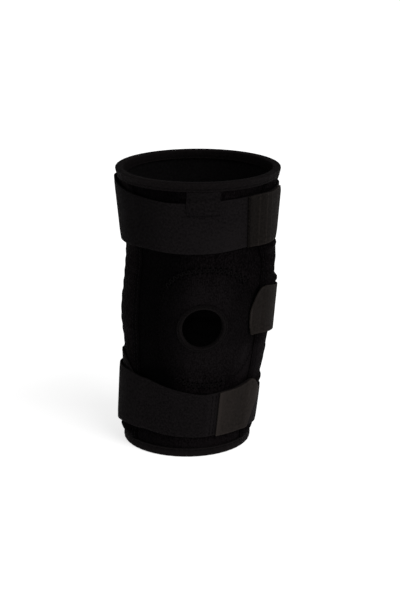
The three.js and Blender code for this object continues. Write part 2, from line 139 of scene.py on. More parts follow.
def read_table(rows: Rows, column: int, at: Array) -> Array:
    """Reads a table's column on a smooth curve through its rows.

    Args:
        rows: Table whose first column is the key, in rising order.
        column: Column to read.
        at: Keys to read at; beyond the table its end values hold.

    Returns:
        One value for each key.
    """
    cells = np.array(rows, float)
    keys, values = cells[:, 0], cells[:, column]
    wide_keys = np.concatenate((keys[:1], keys, keys[-1:]))
    wide_values = np.concatenate((values[:1], values, values[-1:]))
    slopes = (wide_values[2:] - wide_values[:-2]) / (wide_keys[2:] - wide_keys[:-2])
    place = np.clip(at, keys[0], keys[-1])
    i = np.clip(np.searchsorted(keys, place) - 1, 0, len(keys) - 2)
    span = keys[i + 1] - keys[i]
    t = (place - keys[i]) / span
    rise = values[i + 1] - values[i]
    bend = (1 - t) * (slopes[i] * span - rise) - t * (slopes[i + 1] * span - rise)
    return values[i] + rise * t + t * (1 - t) * bend


def hump(u: Array) -> Array:
    """Round hump of height 1 at 0 that ends at -1 and 1."""
    return 0.5 + 0.5 * np.cos(np.pi * np.clip(u, -1, 1))


def ease(u: Array) -> Array:
    """Smooth step from 0 at 0 to 1 at 1."""
    t = np.clip(u, 0, 1)
    return t * t * (3 - 2 * t)


def dent(distance: Array, width: float) -> Array:
    """Soft dent of depth 1 along a line, by the distance from that line."""
    return np.exp(-((distance / width) ** 2))


def lerp(start: Array, end: Array, share: Array) -> Array:
    """Value at a share of the way from start to end."""
    return start + (end - start) * share


def turn_near(angle: Array, centre: Array | float) -> Array:
    """Angle brought into the turn that is centred on another angle."""
    return angle - 360 * np.round((angle - centre) / 360)


@dataclass(frozen=True)
class Ramp:
    """Smooth rise from 0 at one place to its full height at another."""

    start: float
    end: float
    height: float = 1.0

    def at(self, place: Array) -> Array:
        """Height of the rise at each place."""
        return self.height * ease((place - self.start) / (self.end - self.start))


@dataclass(frozen=True)
class Swell:
    """Round swell, highest at its middle, with a reach to each side."""

    middle: float
    reach: float
    height: float = 1.0

    def at(self, place: Array) -> Array:
        """Height of the swell at each place."""
        return self.height * hump((place - self.middle) / self.reach)


@dataclass(frozen=True)
class Line:
    """Soft line with a height, or depth, and a width."""

    height: float
    width: float

    def at(self, distance: Array) -> Array:
        """Height at each distance from the line."""
        return self.height * dent(distance, self.width)


@dataclass(frozen=True)
class LegForm:
    """Outside of the sleeve as it sits on a leg."""

    height: float = 0.259
    wall: float = 0.0035
    sections: Rows = (
        # height, sideways shift, half width, depth in front, depth behind
        (0.000, -0.0096, 0.0572, 0.0595, 0.0585),
        (0.022, -0.0084, 0.0573, 0.0584, 0.0620),
        (0.050, -0.0060, 0.0571, 0.0592, 0.0630),
        (0.076, -0.0031, 0.0604, 0.0610, 0.0600),
        (0.098, -0.0017, 0.0626, 0.0646, 0.0550),
        (0.125, -0.0002, 0.0652, 0.0666, 0.0525),
        (0.150, 0.0010, 0.0651, 0.0662, 0.0540),
        (0.178, 0.0032, 0.0647, 0.0650, 0.0605),
        (0.205, 0.0001, 0.0616, 0.0670, 0.0665),
        (0.235, -0.00065, 0.06595, 0.0704, 0.0710),
        (0.259, 0.0009, 0.0732, 0.0720, 0.0730),
    )
    gathers: Rows = (
        # angle, reach round the leg, height, reach up and down, push outwards
        (92, 40, 0.247, 0.016, 0.0022),
        (100, 26, 0.184, 0.018, 0.0018),
        (100, 26, 0.168, 0.009, -0.0014),
        (100, 26, 0.154, 0.008, 0.0022),
        (110, 36, 0.098, 0.009, -0.0020),
        (100, 18, 0.064, 0.012, 0.0016),
        (110, 36, 0.088, 0.007, 0.0012),
        (110, 36, 0.080, 0.006, -0.0008),
        (110, 36, 0.072, 0.006, 0.0008),
        (-110, 36, 0.095, 0.008, -0.0024),
        (-110, 36, 0.106, 0.008, 0.0010),
        (-110, 36, 0.160, 0.012, -0.0016),
        (180, 55, 0.108, 0.009, -0.0026),
        (180, 60, 0.131, 0.010, -0.0030),
        (180, 55, 0.152, 0.009, -0.0022),
    )
    normal_turn: float = 0.2
    normal_step: float = 0.0005

    def section(self, column: Section, z: Array) -> Array:
        """One column of the sections at each height."""
        return read_table(self.sections, column, z)

    def smooth(self, angle: Array, z: Array, offset: Array | float = 0.0) -> Array:
        """Points at a distance outside the leg's smooth form.

        Args:
            angle: Angles round the leg.
            z: Heights.
            offset: Distance outside the form.

        Returns:
            Points, one a row.
        """
        sine, cosine = np.sin(np.radians(angle)), np.cos(np.radians(angle))
        depth = np.where(cosine > 0, self.section(Section.FRONT, z), self.section(Section.BACK, z))
        x = self.section(Section.SHIFT, z) + (self.section(Section.HALF_WIDTH, z) + offset) * sine
        y = -(depth + offset) * cosine
        return np.stack(np.broadcast_arrays(x, y, z), axis=-1)

    def gathered(self, angle: Array, z: Array) -> Array:
        """Push of all the gathers together.

        Args:
            angle: Angles round the leg.
            z: Heights.

        Returns:
            Distance outwards for each place.
        """
        push = np.zeros(np.broadcast(angle, z).shape)
        for middle, spread, height, rise, out in self.gathers:
            across = hump((turn_near(angle, middle) - middle) / spread)
            push = push + out * across * hump((z - height) / rise)
        return push

    def sleeve(self, angle: Array, z: Array, offset: Array | float = 0.0) -> Array:
        """Points at a distance outside the gathered sleeve."""
        return self.smooth(angle, z, offset + self.gathered(angle, z))

    def outward(self, angle: Array, z: Array) -> Array:
        """Unit normals of the gathered sleeve.

        Args:
            angle: Angles round the leg.
            z: Heights.

        Returns:
            Normals, one a row.
        """
        around = self.sleeve(angle + self.normal_turn, z) - self.sleeve(angle - self.normal_turn, z)
        up = self.sleeve(angle, z + self.normal_step) - self.sleeve(angle, z - self.normal_step)
        normal = np.cross(around, up)
        return normal / np.linalg.norm(normal, axis=-1, keepdims=True)

    def angle_at(self, x: Array, z: Array) -> Array:
        """Angle of a place on the front, seen straight from the front."""
        reach = (x - self.section(Section.SHIFT, z)) / self.section(Section.HALF_WIDTH, z)
        return np.degrees(np.arcsin(np.clip(reach, -1, 1)))


LEG = LegForm()
FRONT_HALF = 90


@dataclass(frozen=True)
class PaintedPileLight:
    """Painted light on the pile: painted shade on the side away from the light, and painted highlights
    where the light falls.
    """

    left: Ramp = Ramp(1, -26)
    far_left: Ramp = Ramp(-52, -66, 0.6)
    low_left: Swell = Swell(-37, 24, 0.9)
    low_left_height: Ramp = Ramp(0.092, 0.072)
    right: Ramp = Ramp(24, 48, 0.28)
    right_height: Ramp = Ramp(0.168, 0.180)
    foot: Ramp = Ramp(0.024, 0.018, 0.7)
    wear_and_light: Swell = Swell(56, 30)
    highlight_height: Swell = Swell(0.086, 0.032)
    crease_turns: Pair = (41.5, 47.5)
    crease_start: float = 0.086
    crease_length: float = 0.024
    crease: Line = Line(0.9, 1.6)
    crease_height: Swell = Swell(0.099, 0.017)

    def lean_and_shade(self, angle: Array, z: Array) -> Array:
        """Painted shade on the pile, darkest on the side away from the light.

        Args:
            angle: Angles round the leg.
            z: Heights.

        Returns:
            From 0 at the right to 1 at the left, with more at the lower left and the upper right.
        """
        turn = turn_near(angle, 0)
        # Painted shade on the left, away from the light, with a painted shadow at the lower left by the
        # lower strap's edge and painted shade at the upper right.
        left = self.left.at(turn) * (1 - self.far_left.at(turn))
        low = self.low_left.at(turn) * self.low_left_height.at(z)
        return (left + low) * (1 - self.foot.at(z)) + self.right.at(turn) * self.right_height.at(z)

    def painted_highlight(self, angle: Array, z: Array) -> Array:
        """Painted highlight on the pile at the lit right, under the knee and along a crease there.

        Args:
            angle: Angles round the leg.
            z: Heights.

        Returns:
            Share of the full painted highlight for each place.
        """
        turn = turn_near(angle, 0)
        line = lerp(*self.crease_turns, (z - self.crease_start) / self.crease_length)
        crease = self.crease.at(turn - line) * self.crease_height.at(z)
        return self.wear_and_light.at(turn) * self.highlight_height.at(z) + crease


PILE = PaintedPileLight()


@dataclass(frozen=True)
class PocketForm:
    """Outside of the side pockets, which lie on the sleeve and hold the stays."""

    angle: float = 75.0
    half_angle: float = 20.0
    cloth: float = 0.0015
    low: float = 0.00835
    high: float = 0.25065
    end_ramp: float = 0.026
    edge_lift: float = 0.0019
    stay_lift: float = 0.0042
    hinge_lift: float = 0.0052
    hinge_bulge: Swell = Swell(0.125, 0.026)
    fullness: int = 4
    beside: float = 1.5

    def across(self, angle: Array) -> Array:
        """Place across the nearer pocket: 0 at its middle, 1 at its edges."""
        side = np.where(turn_near(angle, 0) < 0, -self.angle, self.angle)
        return np.abs(turn_near(angle, side) - side) / self.half_angle

    def inset(self, angle: Array) -> Array:
        """Degrees that a place lies inside the nearer pocket's edge."""
        return (1 - self.across(angle)) * self.half_angle

    def lift(self, angle: Array, z: Array) -> Array:
        """Height of a pocket's outside over the sleeve.

        Args:
            angle: Angles round the leg.
            z: Heights.

        Returns:
            Lift for each place.
        """
        across = np.minimum(self.across(angle), 1)
        from_end = np.minimum(z - self.low, self.high - z) / self.end_ramp
        filled = ease(from_end) * (1 - across**self.fullness)
        bulge = (self.hinge_lift - self.stay_lift) * self.hinge_bulge.at(z)
        return self.edge_lift + (self.stay_lift - self.edge_lift + bulge) * filled

    def under_strap(self, angle: Array, z: Array) -> Array:
        """Height that a strap has to clear: the pocket, and a slope beside its edge."""
        slope = (self.beside - self.across(angle)) / (self.beside - 1)
        return self.lift(angle, z) * ease(slope)


POCKET = PocketForm()

# Clearances between pieces, and thicknesses of the straps, tabs and the sewn patch.
GAP = 0.00035
STRAP_GAP = 0.00045
STRAP_THICKNESS = 0.002
TAB_THICKNESS = 0.0017
ANCHOR_THICKNESS = 0.0016

# Cloth is a little thinner than its solid, its cut edges are round, and stitches sink into it.
WALL_EASE = 0.0001
CLOTH_EASE = 0.0002
CUT_EDGE = 0.0004
TAPE_EDGE = 0.0003
STRAP_EDGE = 0.0005
STITCH_SINK = 0.0002
STITCH_MARGIN = 0.03

ANCHOR_ROWS: Rows = (
    # angle, lower edge, upper edge
    (-128, 0.046, 0.0860),
    (-92, 0.046, 0.0870),
    (-78, 0.048, 0.0875),
    (-68, 0.052, 0.0815),
    (-58, 0.058, 0.0715),
)
ANCHOR_START, ANCHOR_END = ANCHOR_ROWS[0][0], ANCHOR_ROWS[-1][0]
ANCHOR_SHOULDER = 7.5
MIDDLE_TAB_START = 44.1
MIDDLE_TAB_END = 105.0
MIDDLE_LAP = Ramp(MIDDLE_TAB_END + 6.0, MIDDLE_TAB_END + 1.0)


def under_lower_strap(angle: Array, z: Array) -> Array:
    """Height under the lower strap: the pockets, and the sewn patch at the left.

    Args:
        angle: Angles round the leg.
        z: Heights.

    Returns:
        Height over the sleeve for each place.
    """
    near = turn_near(angle, ANCHOR_START)
    rear, fore = ANCHOR_START - ANCHOR_SHOULDER, ANCHOR_END + ANCHOR_SHOULDER
    inside = ease((near - rear) / ANCHOR_SHOULDER + 1) * ease((fore - near) / ANCHOR_SHOULDER + 1)
    return POCKET.under_strap(angle, z) + inside * (ANCHOR_THICKNESS + GAP)


def under_middle_strap(angle: Array, z: Array) -> Array:
    """Height under the middle strap: the pockets, and the tab where the strap laps it."""
    return POCKET.under_strap(angle, z) + MIDDLE_LAP.at(angle) * (TAB_THICKNESS + GAP)


@dataclass(frozen=True)
class Band:
    """Run of a taut strap: straight across its width and clear of all that lies under it."""

    rows: Rows
    under: Lift
    samples: int = 12

    def low(self, angle: Array) -> Array:
        """Height of the lower edge."""
        return read_table(self.rows, Run.LOW, angle)

    def high(self, angle: Array) -> Array:
        """Height of the upper edge."""
        return read_table(self.rows, Run.HIGH, angle)

    def reach(self, angle: Array, z: Array) -> Array:
        """Distance of what lies under the strap from the frame's Z axis, towards an angle."""
        point = LEG.sleeve(angle, z, self.under(angle, z))
        return point[..., 0] * np.sin(np.radians(angle)) - point[..., 1] * np.cos(np.radians(angle))

    def point(self, angle: Array, share: Array, over: Array | float) -> Array:
        """Points on the band.

        Args:
            angle: Angles round the leg.
            share: Share of the width, from the lower edge.
            over: Distance over the band's seat.

        Returns:
            Points, one a row.
        """
        low, high = self.low(angle), self.high(angle)
        reach_low, reach_high = self.reach(angle, low), self.reach(angle, high)
        rise = np.zeros(angle.shape)
        for step in np.linspace(0, 1, self.samples + 1):
            straight = lerp(reach_low, reach_high, step)
            rise = np.maximum(rise, self.reach(angle, lerp(low, high, step)) - straight)
        seat = rise + STRAP_GAP + over
        low_seat = self.under(angle, low) + read_table(self.rows, Run.LOW_OFF, angle)
        high_seat = self.under(angle, high) + read_table(self.rows, Run.HIGH_OFF, angle)
        low_point = LEG.sleeve(angle, low, low_seat + seat)
        high_point = LEG.sleeve(angle, high, high_seat + seat)
        return lerp(low_point, high_point, np.asarray(share)[..., None])


# Runs of the straps: angle, lower edge, upper edge, stand-off of each edge.
UPPER_BAND = Band(
    rows=(
        (-180, 0.1950, 0.2450, 0, 0),
        (-125, 0.1940, 0.2475, 0.0010, 0.0004),
        (-90, 0.1940, 0.2500, 0.0024, 0.0010),
        (-56, 0.1940, 0.2435, 0.0012, 0.0000),
        (-24, 0.1932, 0.2402, 0, 0),
        (10, 0.1938, 0.2418, 0, 0),
        (40, 0.1959, 0.2431, 0, 0),
        (54, 0.1952, 0.2432, 0, 0),
        (63, 0.1951, 0.2426, 0, 0),
        (73, 0.1948, 0.2432, 0, 0),
        (92, 0.1940, 0.2440, 0.0004, 0.0005),
        (120, 0.1935, 0.2425, 0.0001, 0.0002),
        (180, 0.1950, 0.2450, 0, 0),
    ),
    under=POCKET.under_strap,
)
MIDDLE_ROWS: Rows = (
    (42, 0.1129, 0.1576, 0, 0),
    (52, 0.1122, 0.1570, 0, 0),
    (62, 0.1111, 0.1554, 0, 0),
    (82, 0.1074, 0.1498, 0, 0),
    (100, 0.1035, 0.1475, 0, 0),
    (130, 0.0995, 0.1465, 0, 0),
    (180, 0.0960, 0.1450, 0, 0),
    (252, 0.1000, 0.1490, 0, 0),
)
MIDDLE_BAND = Band(rows=MIDDLE_ROWS, under=under_middle_strap)
MIDDLE_TAB_BAND = Band(rows=MIDDLE_ROWS, under=POCKET.under_strap)
LOWER_BAND = Band(
    rows=(
        (-180, 0.0150, 0.0650, 0, 0),
        (-125, 0.0170, 0.0710, 0.0008, 0.0000),
        (-90, 0.0190, 0.0745, 0.0016, 0.0000),
        (-65, 0.0226, 0.0750, 0.0008, 0.0000),
        (-45, 0.0217, 0.0708, 0, 0),
        (-15, 0.0196, 0.0640, 0, 0),
        (8, 0.0185, 0.0600, 0, 0),
        (20, 0.0188, 0.0605, 0, 0),
        (28, 0.0192, 0.0616, 0, 0),
        (38, 0.0193, 0.0623, 0, 0),
        (47, 0.0193, 0.0640, 0, 0),
        (55, 0.0195, 0.0672, 0, 0),
        (60, 0.0197, 0.0638, 0.0002, 0.0001),
        (68, 0.0190, 0.0545, 0.0006, 0.0004),
        (78, 0.0170, 0.0530, 0.0010, 0.0007),
        (92, 0.0148, 0.0525, 0.0010, 0.0007),
        (112, 0.0145, 0.0560, 0.0004, 0.0002),
        (140, 0.0150, 0.0630, 0, 0),
        (180, 0.0150, 0.0650, 0, 0),
    ),
    under=under_lower_strap,
)

# Corners of the tabs: degrees from the free end, inset of the lower edge, inset of the upper edge.
CUT_CORNERS: Rows = ((0.0, 0.008, 0.007), (5.0, 0.0, 0.0))
ROUND_CORNERS: Rows = (
    (0.0, 0.0125, 0.0240),
    (1.0, 0.0055, 0.0195),
    (2.5, 0.0, 0.0150),
    (5.3, 0.0, 0.0081),
    (8.6, 0.0, 0.0030),
    (14.0, 0.0, 0.0),
)
POINTED_CORNERS: Rows = (
    (0.0, 0.0310, 0.0),
    (2.5, 0.0250, 0.0),
    (6.0, 0.0182, 0.0),
    (10.6, 0.0046, 0.0),
    (11.6, 0.0, 0.0),
)


@dataclass(frozen=True)
class TabShade:
    """Shade on the pile beside the middle tab's rounded end."""

    width: float = 0.0019
    edge: float = 0.002
    degree_run: float = 0.0011

    @staticmethod
    def past_end(height: Array, insets: Array, past: Array) -> Array:
        """Degrees past the tab's end at which its corner reaches a height over the tab's edge."""
        kept = np.concatenate(([True], insets[1:] < insets[:-1]))
        return np.interp(height, insets[kept][::-1], past[kept][::-1])

    def at(self, angle: Array, z: Array) -> Array:
        """How closely the pile lies beside the tab, and so in its shade.

        Args:
            angle: Angles round the leg.
            z: Heights.

        Returns:
            From 0 away from the tab to 1 at its edge and under it.
        """
        end = np.full(angle.shape, MIDDLE_TAB_START)
        over_low = z - MIDDLE_BAND.low(end)
        under_high = MIDDLE_BAND.high(end) - z
        past, low, high = np.array(ROUND_CORNERS).T
        inset = np.maximum(self.past_end(over_low, low, past), self.past_end(under_high, high, past))
        gap = np.maximum(MIDDLE_TAB_START + inset - turn_near(angle, 0), 0) * self.degree_run
        return dent(gap, self.width) * ease(over_low / self.edge + 1) * ease(under_high / self.edge + 1)


TAB_SHADE = TabShade()


@dataclass(frozen=True)
class Oval:
    """Oval on the front, as seen straight from the front; a fuller one has a higher power."""

    x: float
    z: float
    half_width: float
    half_height: float
    turn: float = 0.0
    power: float = 2.0

    @property
    def direction(self) -> Pair:
        """Cosine and sine of the oval's turn."""
        return math.cos(math.radians(self.turn)), math.sin(math.radians(self.turn))

    def places(self, theta: Array, grow: Array | float = 0.0) -> tuple[Array, Array]:
        """Places along the oval.

        Args:
            theta: Radians round the oval, anticlockwise from the right.
            grow: Distance outside the oval.

        Returns:
            Sideways places and heights.
        """
        right, above = np.cos(theta), np.sin(theta)
        full = (np.abs(right) ** self.power + np.abs(above) ** self.power) ** (-1 / self.power)
        across = (self.half_width + grow) * full * right
        up = (self.half_height + grow) * full * above
        cosine, sine = self.direction
        return self.x + across * cosine - up * sine, self.z + across * sine + up * cosine

    def own_axes(self, x: Array, z: Array) -> tuple[Array, Array]:
        """Places along the oval's own axes.

        Args:
            x: Sideways places.
            z: Heights.

        Returns:
            Places as shares of its half width and of its half height.
        """
        cosine, sine = self.direction
        across = (x - self.x) * cosine + (z - self.z) * sine
        up = (z - self.z) * cosine - (x - self.x) * sine
        return across / self.half_width, up / self.half_height

    def theta_at(self, x: Array, z: Array) -> Array:
        """Radians round the oval for places seen from its middle."""
        across, up = self.own_axes(x, z)
        return np.arctan2(up, across)

    def outside(self, x: Array, z: Array) -> Array:
        """Distance outside the oval, close to it; negative inside.

        Args:
            x: Sideways places.
            z: Heights.

        Returns:
            Distance for each place.
        """
        across, up = np.abs(self.own_axes(x, z))
        share = np.maximum((across**self.power + up**self.power) ** (1 / self.power), 1e-6)
        slope = np.hypot(
            (across / share) ** (self.power - 1) / self.half_width,
            (up / share) ** (self.power - 1) / self.half_height,
        )
        return (share - 1) / slope


PANEL_OVAL = Oval(x=0.0071, z=0.1230, half_width=0.044, half_height=0.0548, power=2.6)
HOLE_OVAL = Oval(x=0.0027, z=0.1244, half_width=0.020, half_height=0.0186, turn=30)


@dataclass(frozen=True)
class ZigzagSeam:
    """The zigzag that joins the panel to the sleeve: its needle places and how it draws the cloth in."""

    pairs: int = 70
    samples: int = 721
    half_width: float = 0.00215
    needle_width: float = 0.0008
    needle_depth: float = 0.0008
    needle_shade: float = 1.5
    roll_width: float = 0.0012
    roll_depth: float = 0.0004
    roll_shade: float = 0.15
    slack: float = 0.08
    taut_above: Ramp = Ramp(0.66, 0.80)
    taut_below: Ramp = Ramp(-0.80, -0.94)
    taut_left: Ramp = Ramp(0.026, 0.014)

    def needles(self) -> tuple[Array, Array]:
        """Needle places, along the thread.

        Returns:
            Their angles and heights.
        """
        fine = np.linspace(0, 2 * np.pi, self.samples)
        x, z = PANEL_OVAL.places(fine)
        run = np.concatenate(([0], np.cumsum(np.hypot(np.diff(x), np.diff(z)))))
        even = np.linspace(0, run[-1], 2 * self.pairs, endpoint=False)
        theta = np.interp(even, run, fine)
        grow = np.where(np.arange(2 * self.pairs) % 2 == 0, self.half_width, -self.half_width)
        x, z = PANEL_OVAL.places(theta, grow)
        return LEG.angle_at(x, z), z

    def tension(self, points: Array) -> Array:
        """Pull of the thread: full above and at the lower left, slack where the seam runs upright.

        Args:
            points: Points on the sleeve or the panel.

        Returns:
            Share of the full pull for each point.
        """
        up = (points[:, 2] - PANEL_OVAL.z) / PANEL_OVAL.half_height
        below = self.taut_below.at(up) * self.taut_left.at(points[:, 0])
        return self.slack + (1 - self.slack) * np.maximum(self.taut_above.at(up), below)

    def pull(self, points: Array) -> Array:
        """How much each point is drawn in by the nearest needle place, from 0 to 1.

        Args:
            points: Points on the sleeve or the panel.

        Returns:
            Share of the full pull for each point.
        """
        nearest = np.full(len(points), np.inf)
        for needle in LEG.sleeve(*self.needles()):
            nearest = np.minimum(nearest, np.linalg.norm(points - needle, axis=1))
        return self.tension(points) * dent(nearest, self.needle_width)

    def draw_in(self, points: Array, from_seam: Array) -> tuple[Array, Array]:
        """What the seam does to the cloth on both its sides.

        Args:
            points: Points on the sleeve or the panel.
            from_seam: Distance of each point from the seam.

        Returns:
            Depth that each point is drawn in, and how dark it lies: painted shade in the seam's groove and
            needle dimples.
        """
        roll, pull = dent(from_seam, self.roll_width), self.pull(points)
        depth = self.roll_depth * roll + self.needle_depth * pull
        return depth, np.maximum(self.roll_shade * roll, self.needle_shade * pull)


ZIGZAG = ZigzagSeam()


def clear_selection() -> None:
    """Leaves no object selected."""
    bpy.ops.object.select_all(action="DESELECT")


def take_up(piece: Piece) -> None:
    """Makes a piece the only selected and active object.

    Args:
        piece: The piece.
    """
    clear_selection()
    piece.select_set(True)
    bpy.context.view_layer.objects.active = piece


def cut_swatch(name: str, columns: int, rows: int) -> tuple[Piece, Array, Array]:
    """Cuts a flat square of cloth, one unit each way, as a grid.

    Args:
        name: Name of the piece.
        columns: Faces along the cloth.
        rows: Faces across the cloth.

    Returns:
        The flat piece, and its points' places along and across it, each from 0 to 1.
    """
    clear_selection()
    bpy.ops.mesh.primitive_grid_add(x_subdivisions=columns, y_subdivisions=rows, size=1.0)
    swatch = bpy.context.object
    swatch.name = swatch.data.name = name
    along, across, _ = points_of(swatch).T + 0.5
    return swatch, along, across


def points_of(piece: Piece) -> Array:
    """Reads the points of a mesh.

    Args:
        piece: The piece.

    Returns:
        Points, one a row.
    """
    points = np.empty(3 * len(piece.data.vertices))
    piece.data.vertices.foreach_get("co", points)
    return points.reshape(-1, 3)


def move_points(piece: Piece, points: Array) -> None:
    """Puts a mesh's points in new places."""
    piece.data.vertices.foreach_set("co", np.ascontiguousarray(points, np.float32).ravel())
    piece.data.update()


def lay_uv(piece: Piece, along: Array, across: Array) -> None:
    """Gives a piece its UV map in metres of cloth.

    Args:
        piece: The piece.
        along: Distance along the cloth at each point.
        across: Distance across the cloth at each point.
    """
    layer = piece.data.uv_layers.active or piece.data.uv_layers.new(name="cloth")
    index = np.empty(len(piece.data.loops), np.int32)
    piece.data.loops.foreach_get("vertex_index", index)
    layer.data.foreach_set("uv", np.column_stack((along[index], across[index])).ravel())


def mark(piece: Piece, edge: Array, seam: Array) -> None:
    """Keeps two marks a point on a piece, for its finish to read.

    Args:
        piece: The piece.
        edge: How pale each point is, from wear and painted highlights.
        seam: How dark it lies, mostly painted shade.
    """
    for name, values in zip(MARKS, (edge, seam)):
        attribute = piece.data.attributes.new(name, "FLOAT", "POINT")
        attribute.data.foreach_set("value", np.ascontiguousarray(values, np.float32))


def sew_edges(piece: Piece, reach: float = 1e-5) -> None:
    """Joins edges of a piece that lie on each other.

    Args:
        piece: The piece.
        reach: Distance within which points are one.
    """
    take_up(piece)
    bpy.ops.object.mode_set(mode="EDIT")
    bpy.ops.mesh.select_all(action="SELECT")
    bpy.ops.mesh.remove_doubles(threshold=reach)
    bpy.ops.object.mode_set(mode="OBJECT")


def work_modifier(piece: Piece, kind: str, **settings: object) -> None:
    """Adds a modifier and applies it.

    Args:
        piece: The piece.
        kind: Type of the modifier.
        **settings: Properties of the modifier.
    """
    modifier = piece.modifiers.new(kind.title(), kind)
    for key, value in settings.items():
        setattr(modifier, key, value)
    take_up(piece)
    bpy.ops.object.modifier_apply(modifier=modifier.name)


def soften(piece: Piece, angle: float = 55) -> None:
    """Shades a piece smoothly, apart from edges sharper than an angle."""
    take_up(piece)
    bpy.ops.object.shade_smooth_by_angle(angle=math.radians(angle))


@dataclass(frozen=True)
class NodeTray:
    """Places nodes in one node tree and links them."""

    tree: NodeTree

    def add(self, kind: str, **settings: object) -> Node:
        """Adds a node; settings that name an input set its value, and a socket is linked to it.

        Args:
            kind: Node type without its ShaderNode prefix.
            **settings: Properties of the node, or its inputs by name with _ for a space.

        Returns:
            The node.
        """
        node = self.tree.nodes.new("ShaderNode" + kind)
        for key, value in settings.items():
            if hasattr(node, key) and not key.istitle():
                setattr(node, key, value)
            else:
                self.feed(node, key.replace("_", " "), value)
        return node

    def fill(self, node: Node, **inputs: object) -> None:
        """Sets or links inputs of a node, by name with _ for a space."""
        for key, value in inputs.items():
            self.feed(node, key.replace("_", " "), value)

    def feed(self, node: Node, name: str | int, value: object) -> None:
        """Sets or links one input of a node.

        Args:
            node: The node.
            name: Name or number of its input.
            value: A value to set, or a socket to link.
        """
        socket = node.inputs[name]
        if isinstance(value, Socket):
            self.tree.links.new(value, socket)
        else:
            socket.default_value = value

    def maths(self, operation: str, first: object, second: object = 0.0) -> Socket:
        """Works out two values or sockets with a Math node.

        Args:
            operation: Operation of the node.
            first: First value or socket.
            second: Second value or socket.

        Returns:
            The result.
        """
        node = self.tree.nodes.new("ShaderNodeMath")
        node.operation = operation
        self.feed(node, 0, first)
        self.feed(node, 1, second)
        return node.outputs[0]

    def ridges(self, turns: Socket) -> Socket:
        """Round ridges from 0 to 1, one for each whole turn."""
        return self.maths("ABSOLUTE", self.maths("SINE", self.maths("MULTIPLY", turns, math.pi)))

    def blend(self, share: object, first: object, second: object) -> Socket:
        """Blends two colours with a Mix node, whose colour sockets have numbers of their own.

        Args:
            share: Share of the way to the second colour.
            first: First colour or socket.
            second: Second colour or socket.

        Returns:
            The colour.
        """
        node = self.tree.nodes.new("ShaderNodeMix")
        node.data_type = "RGBA"
        self.feed(node, 0, share)
        self.feed(node, 6, first)
        self.feed(node, 7, second)
        return node.outputs[2]


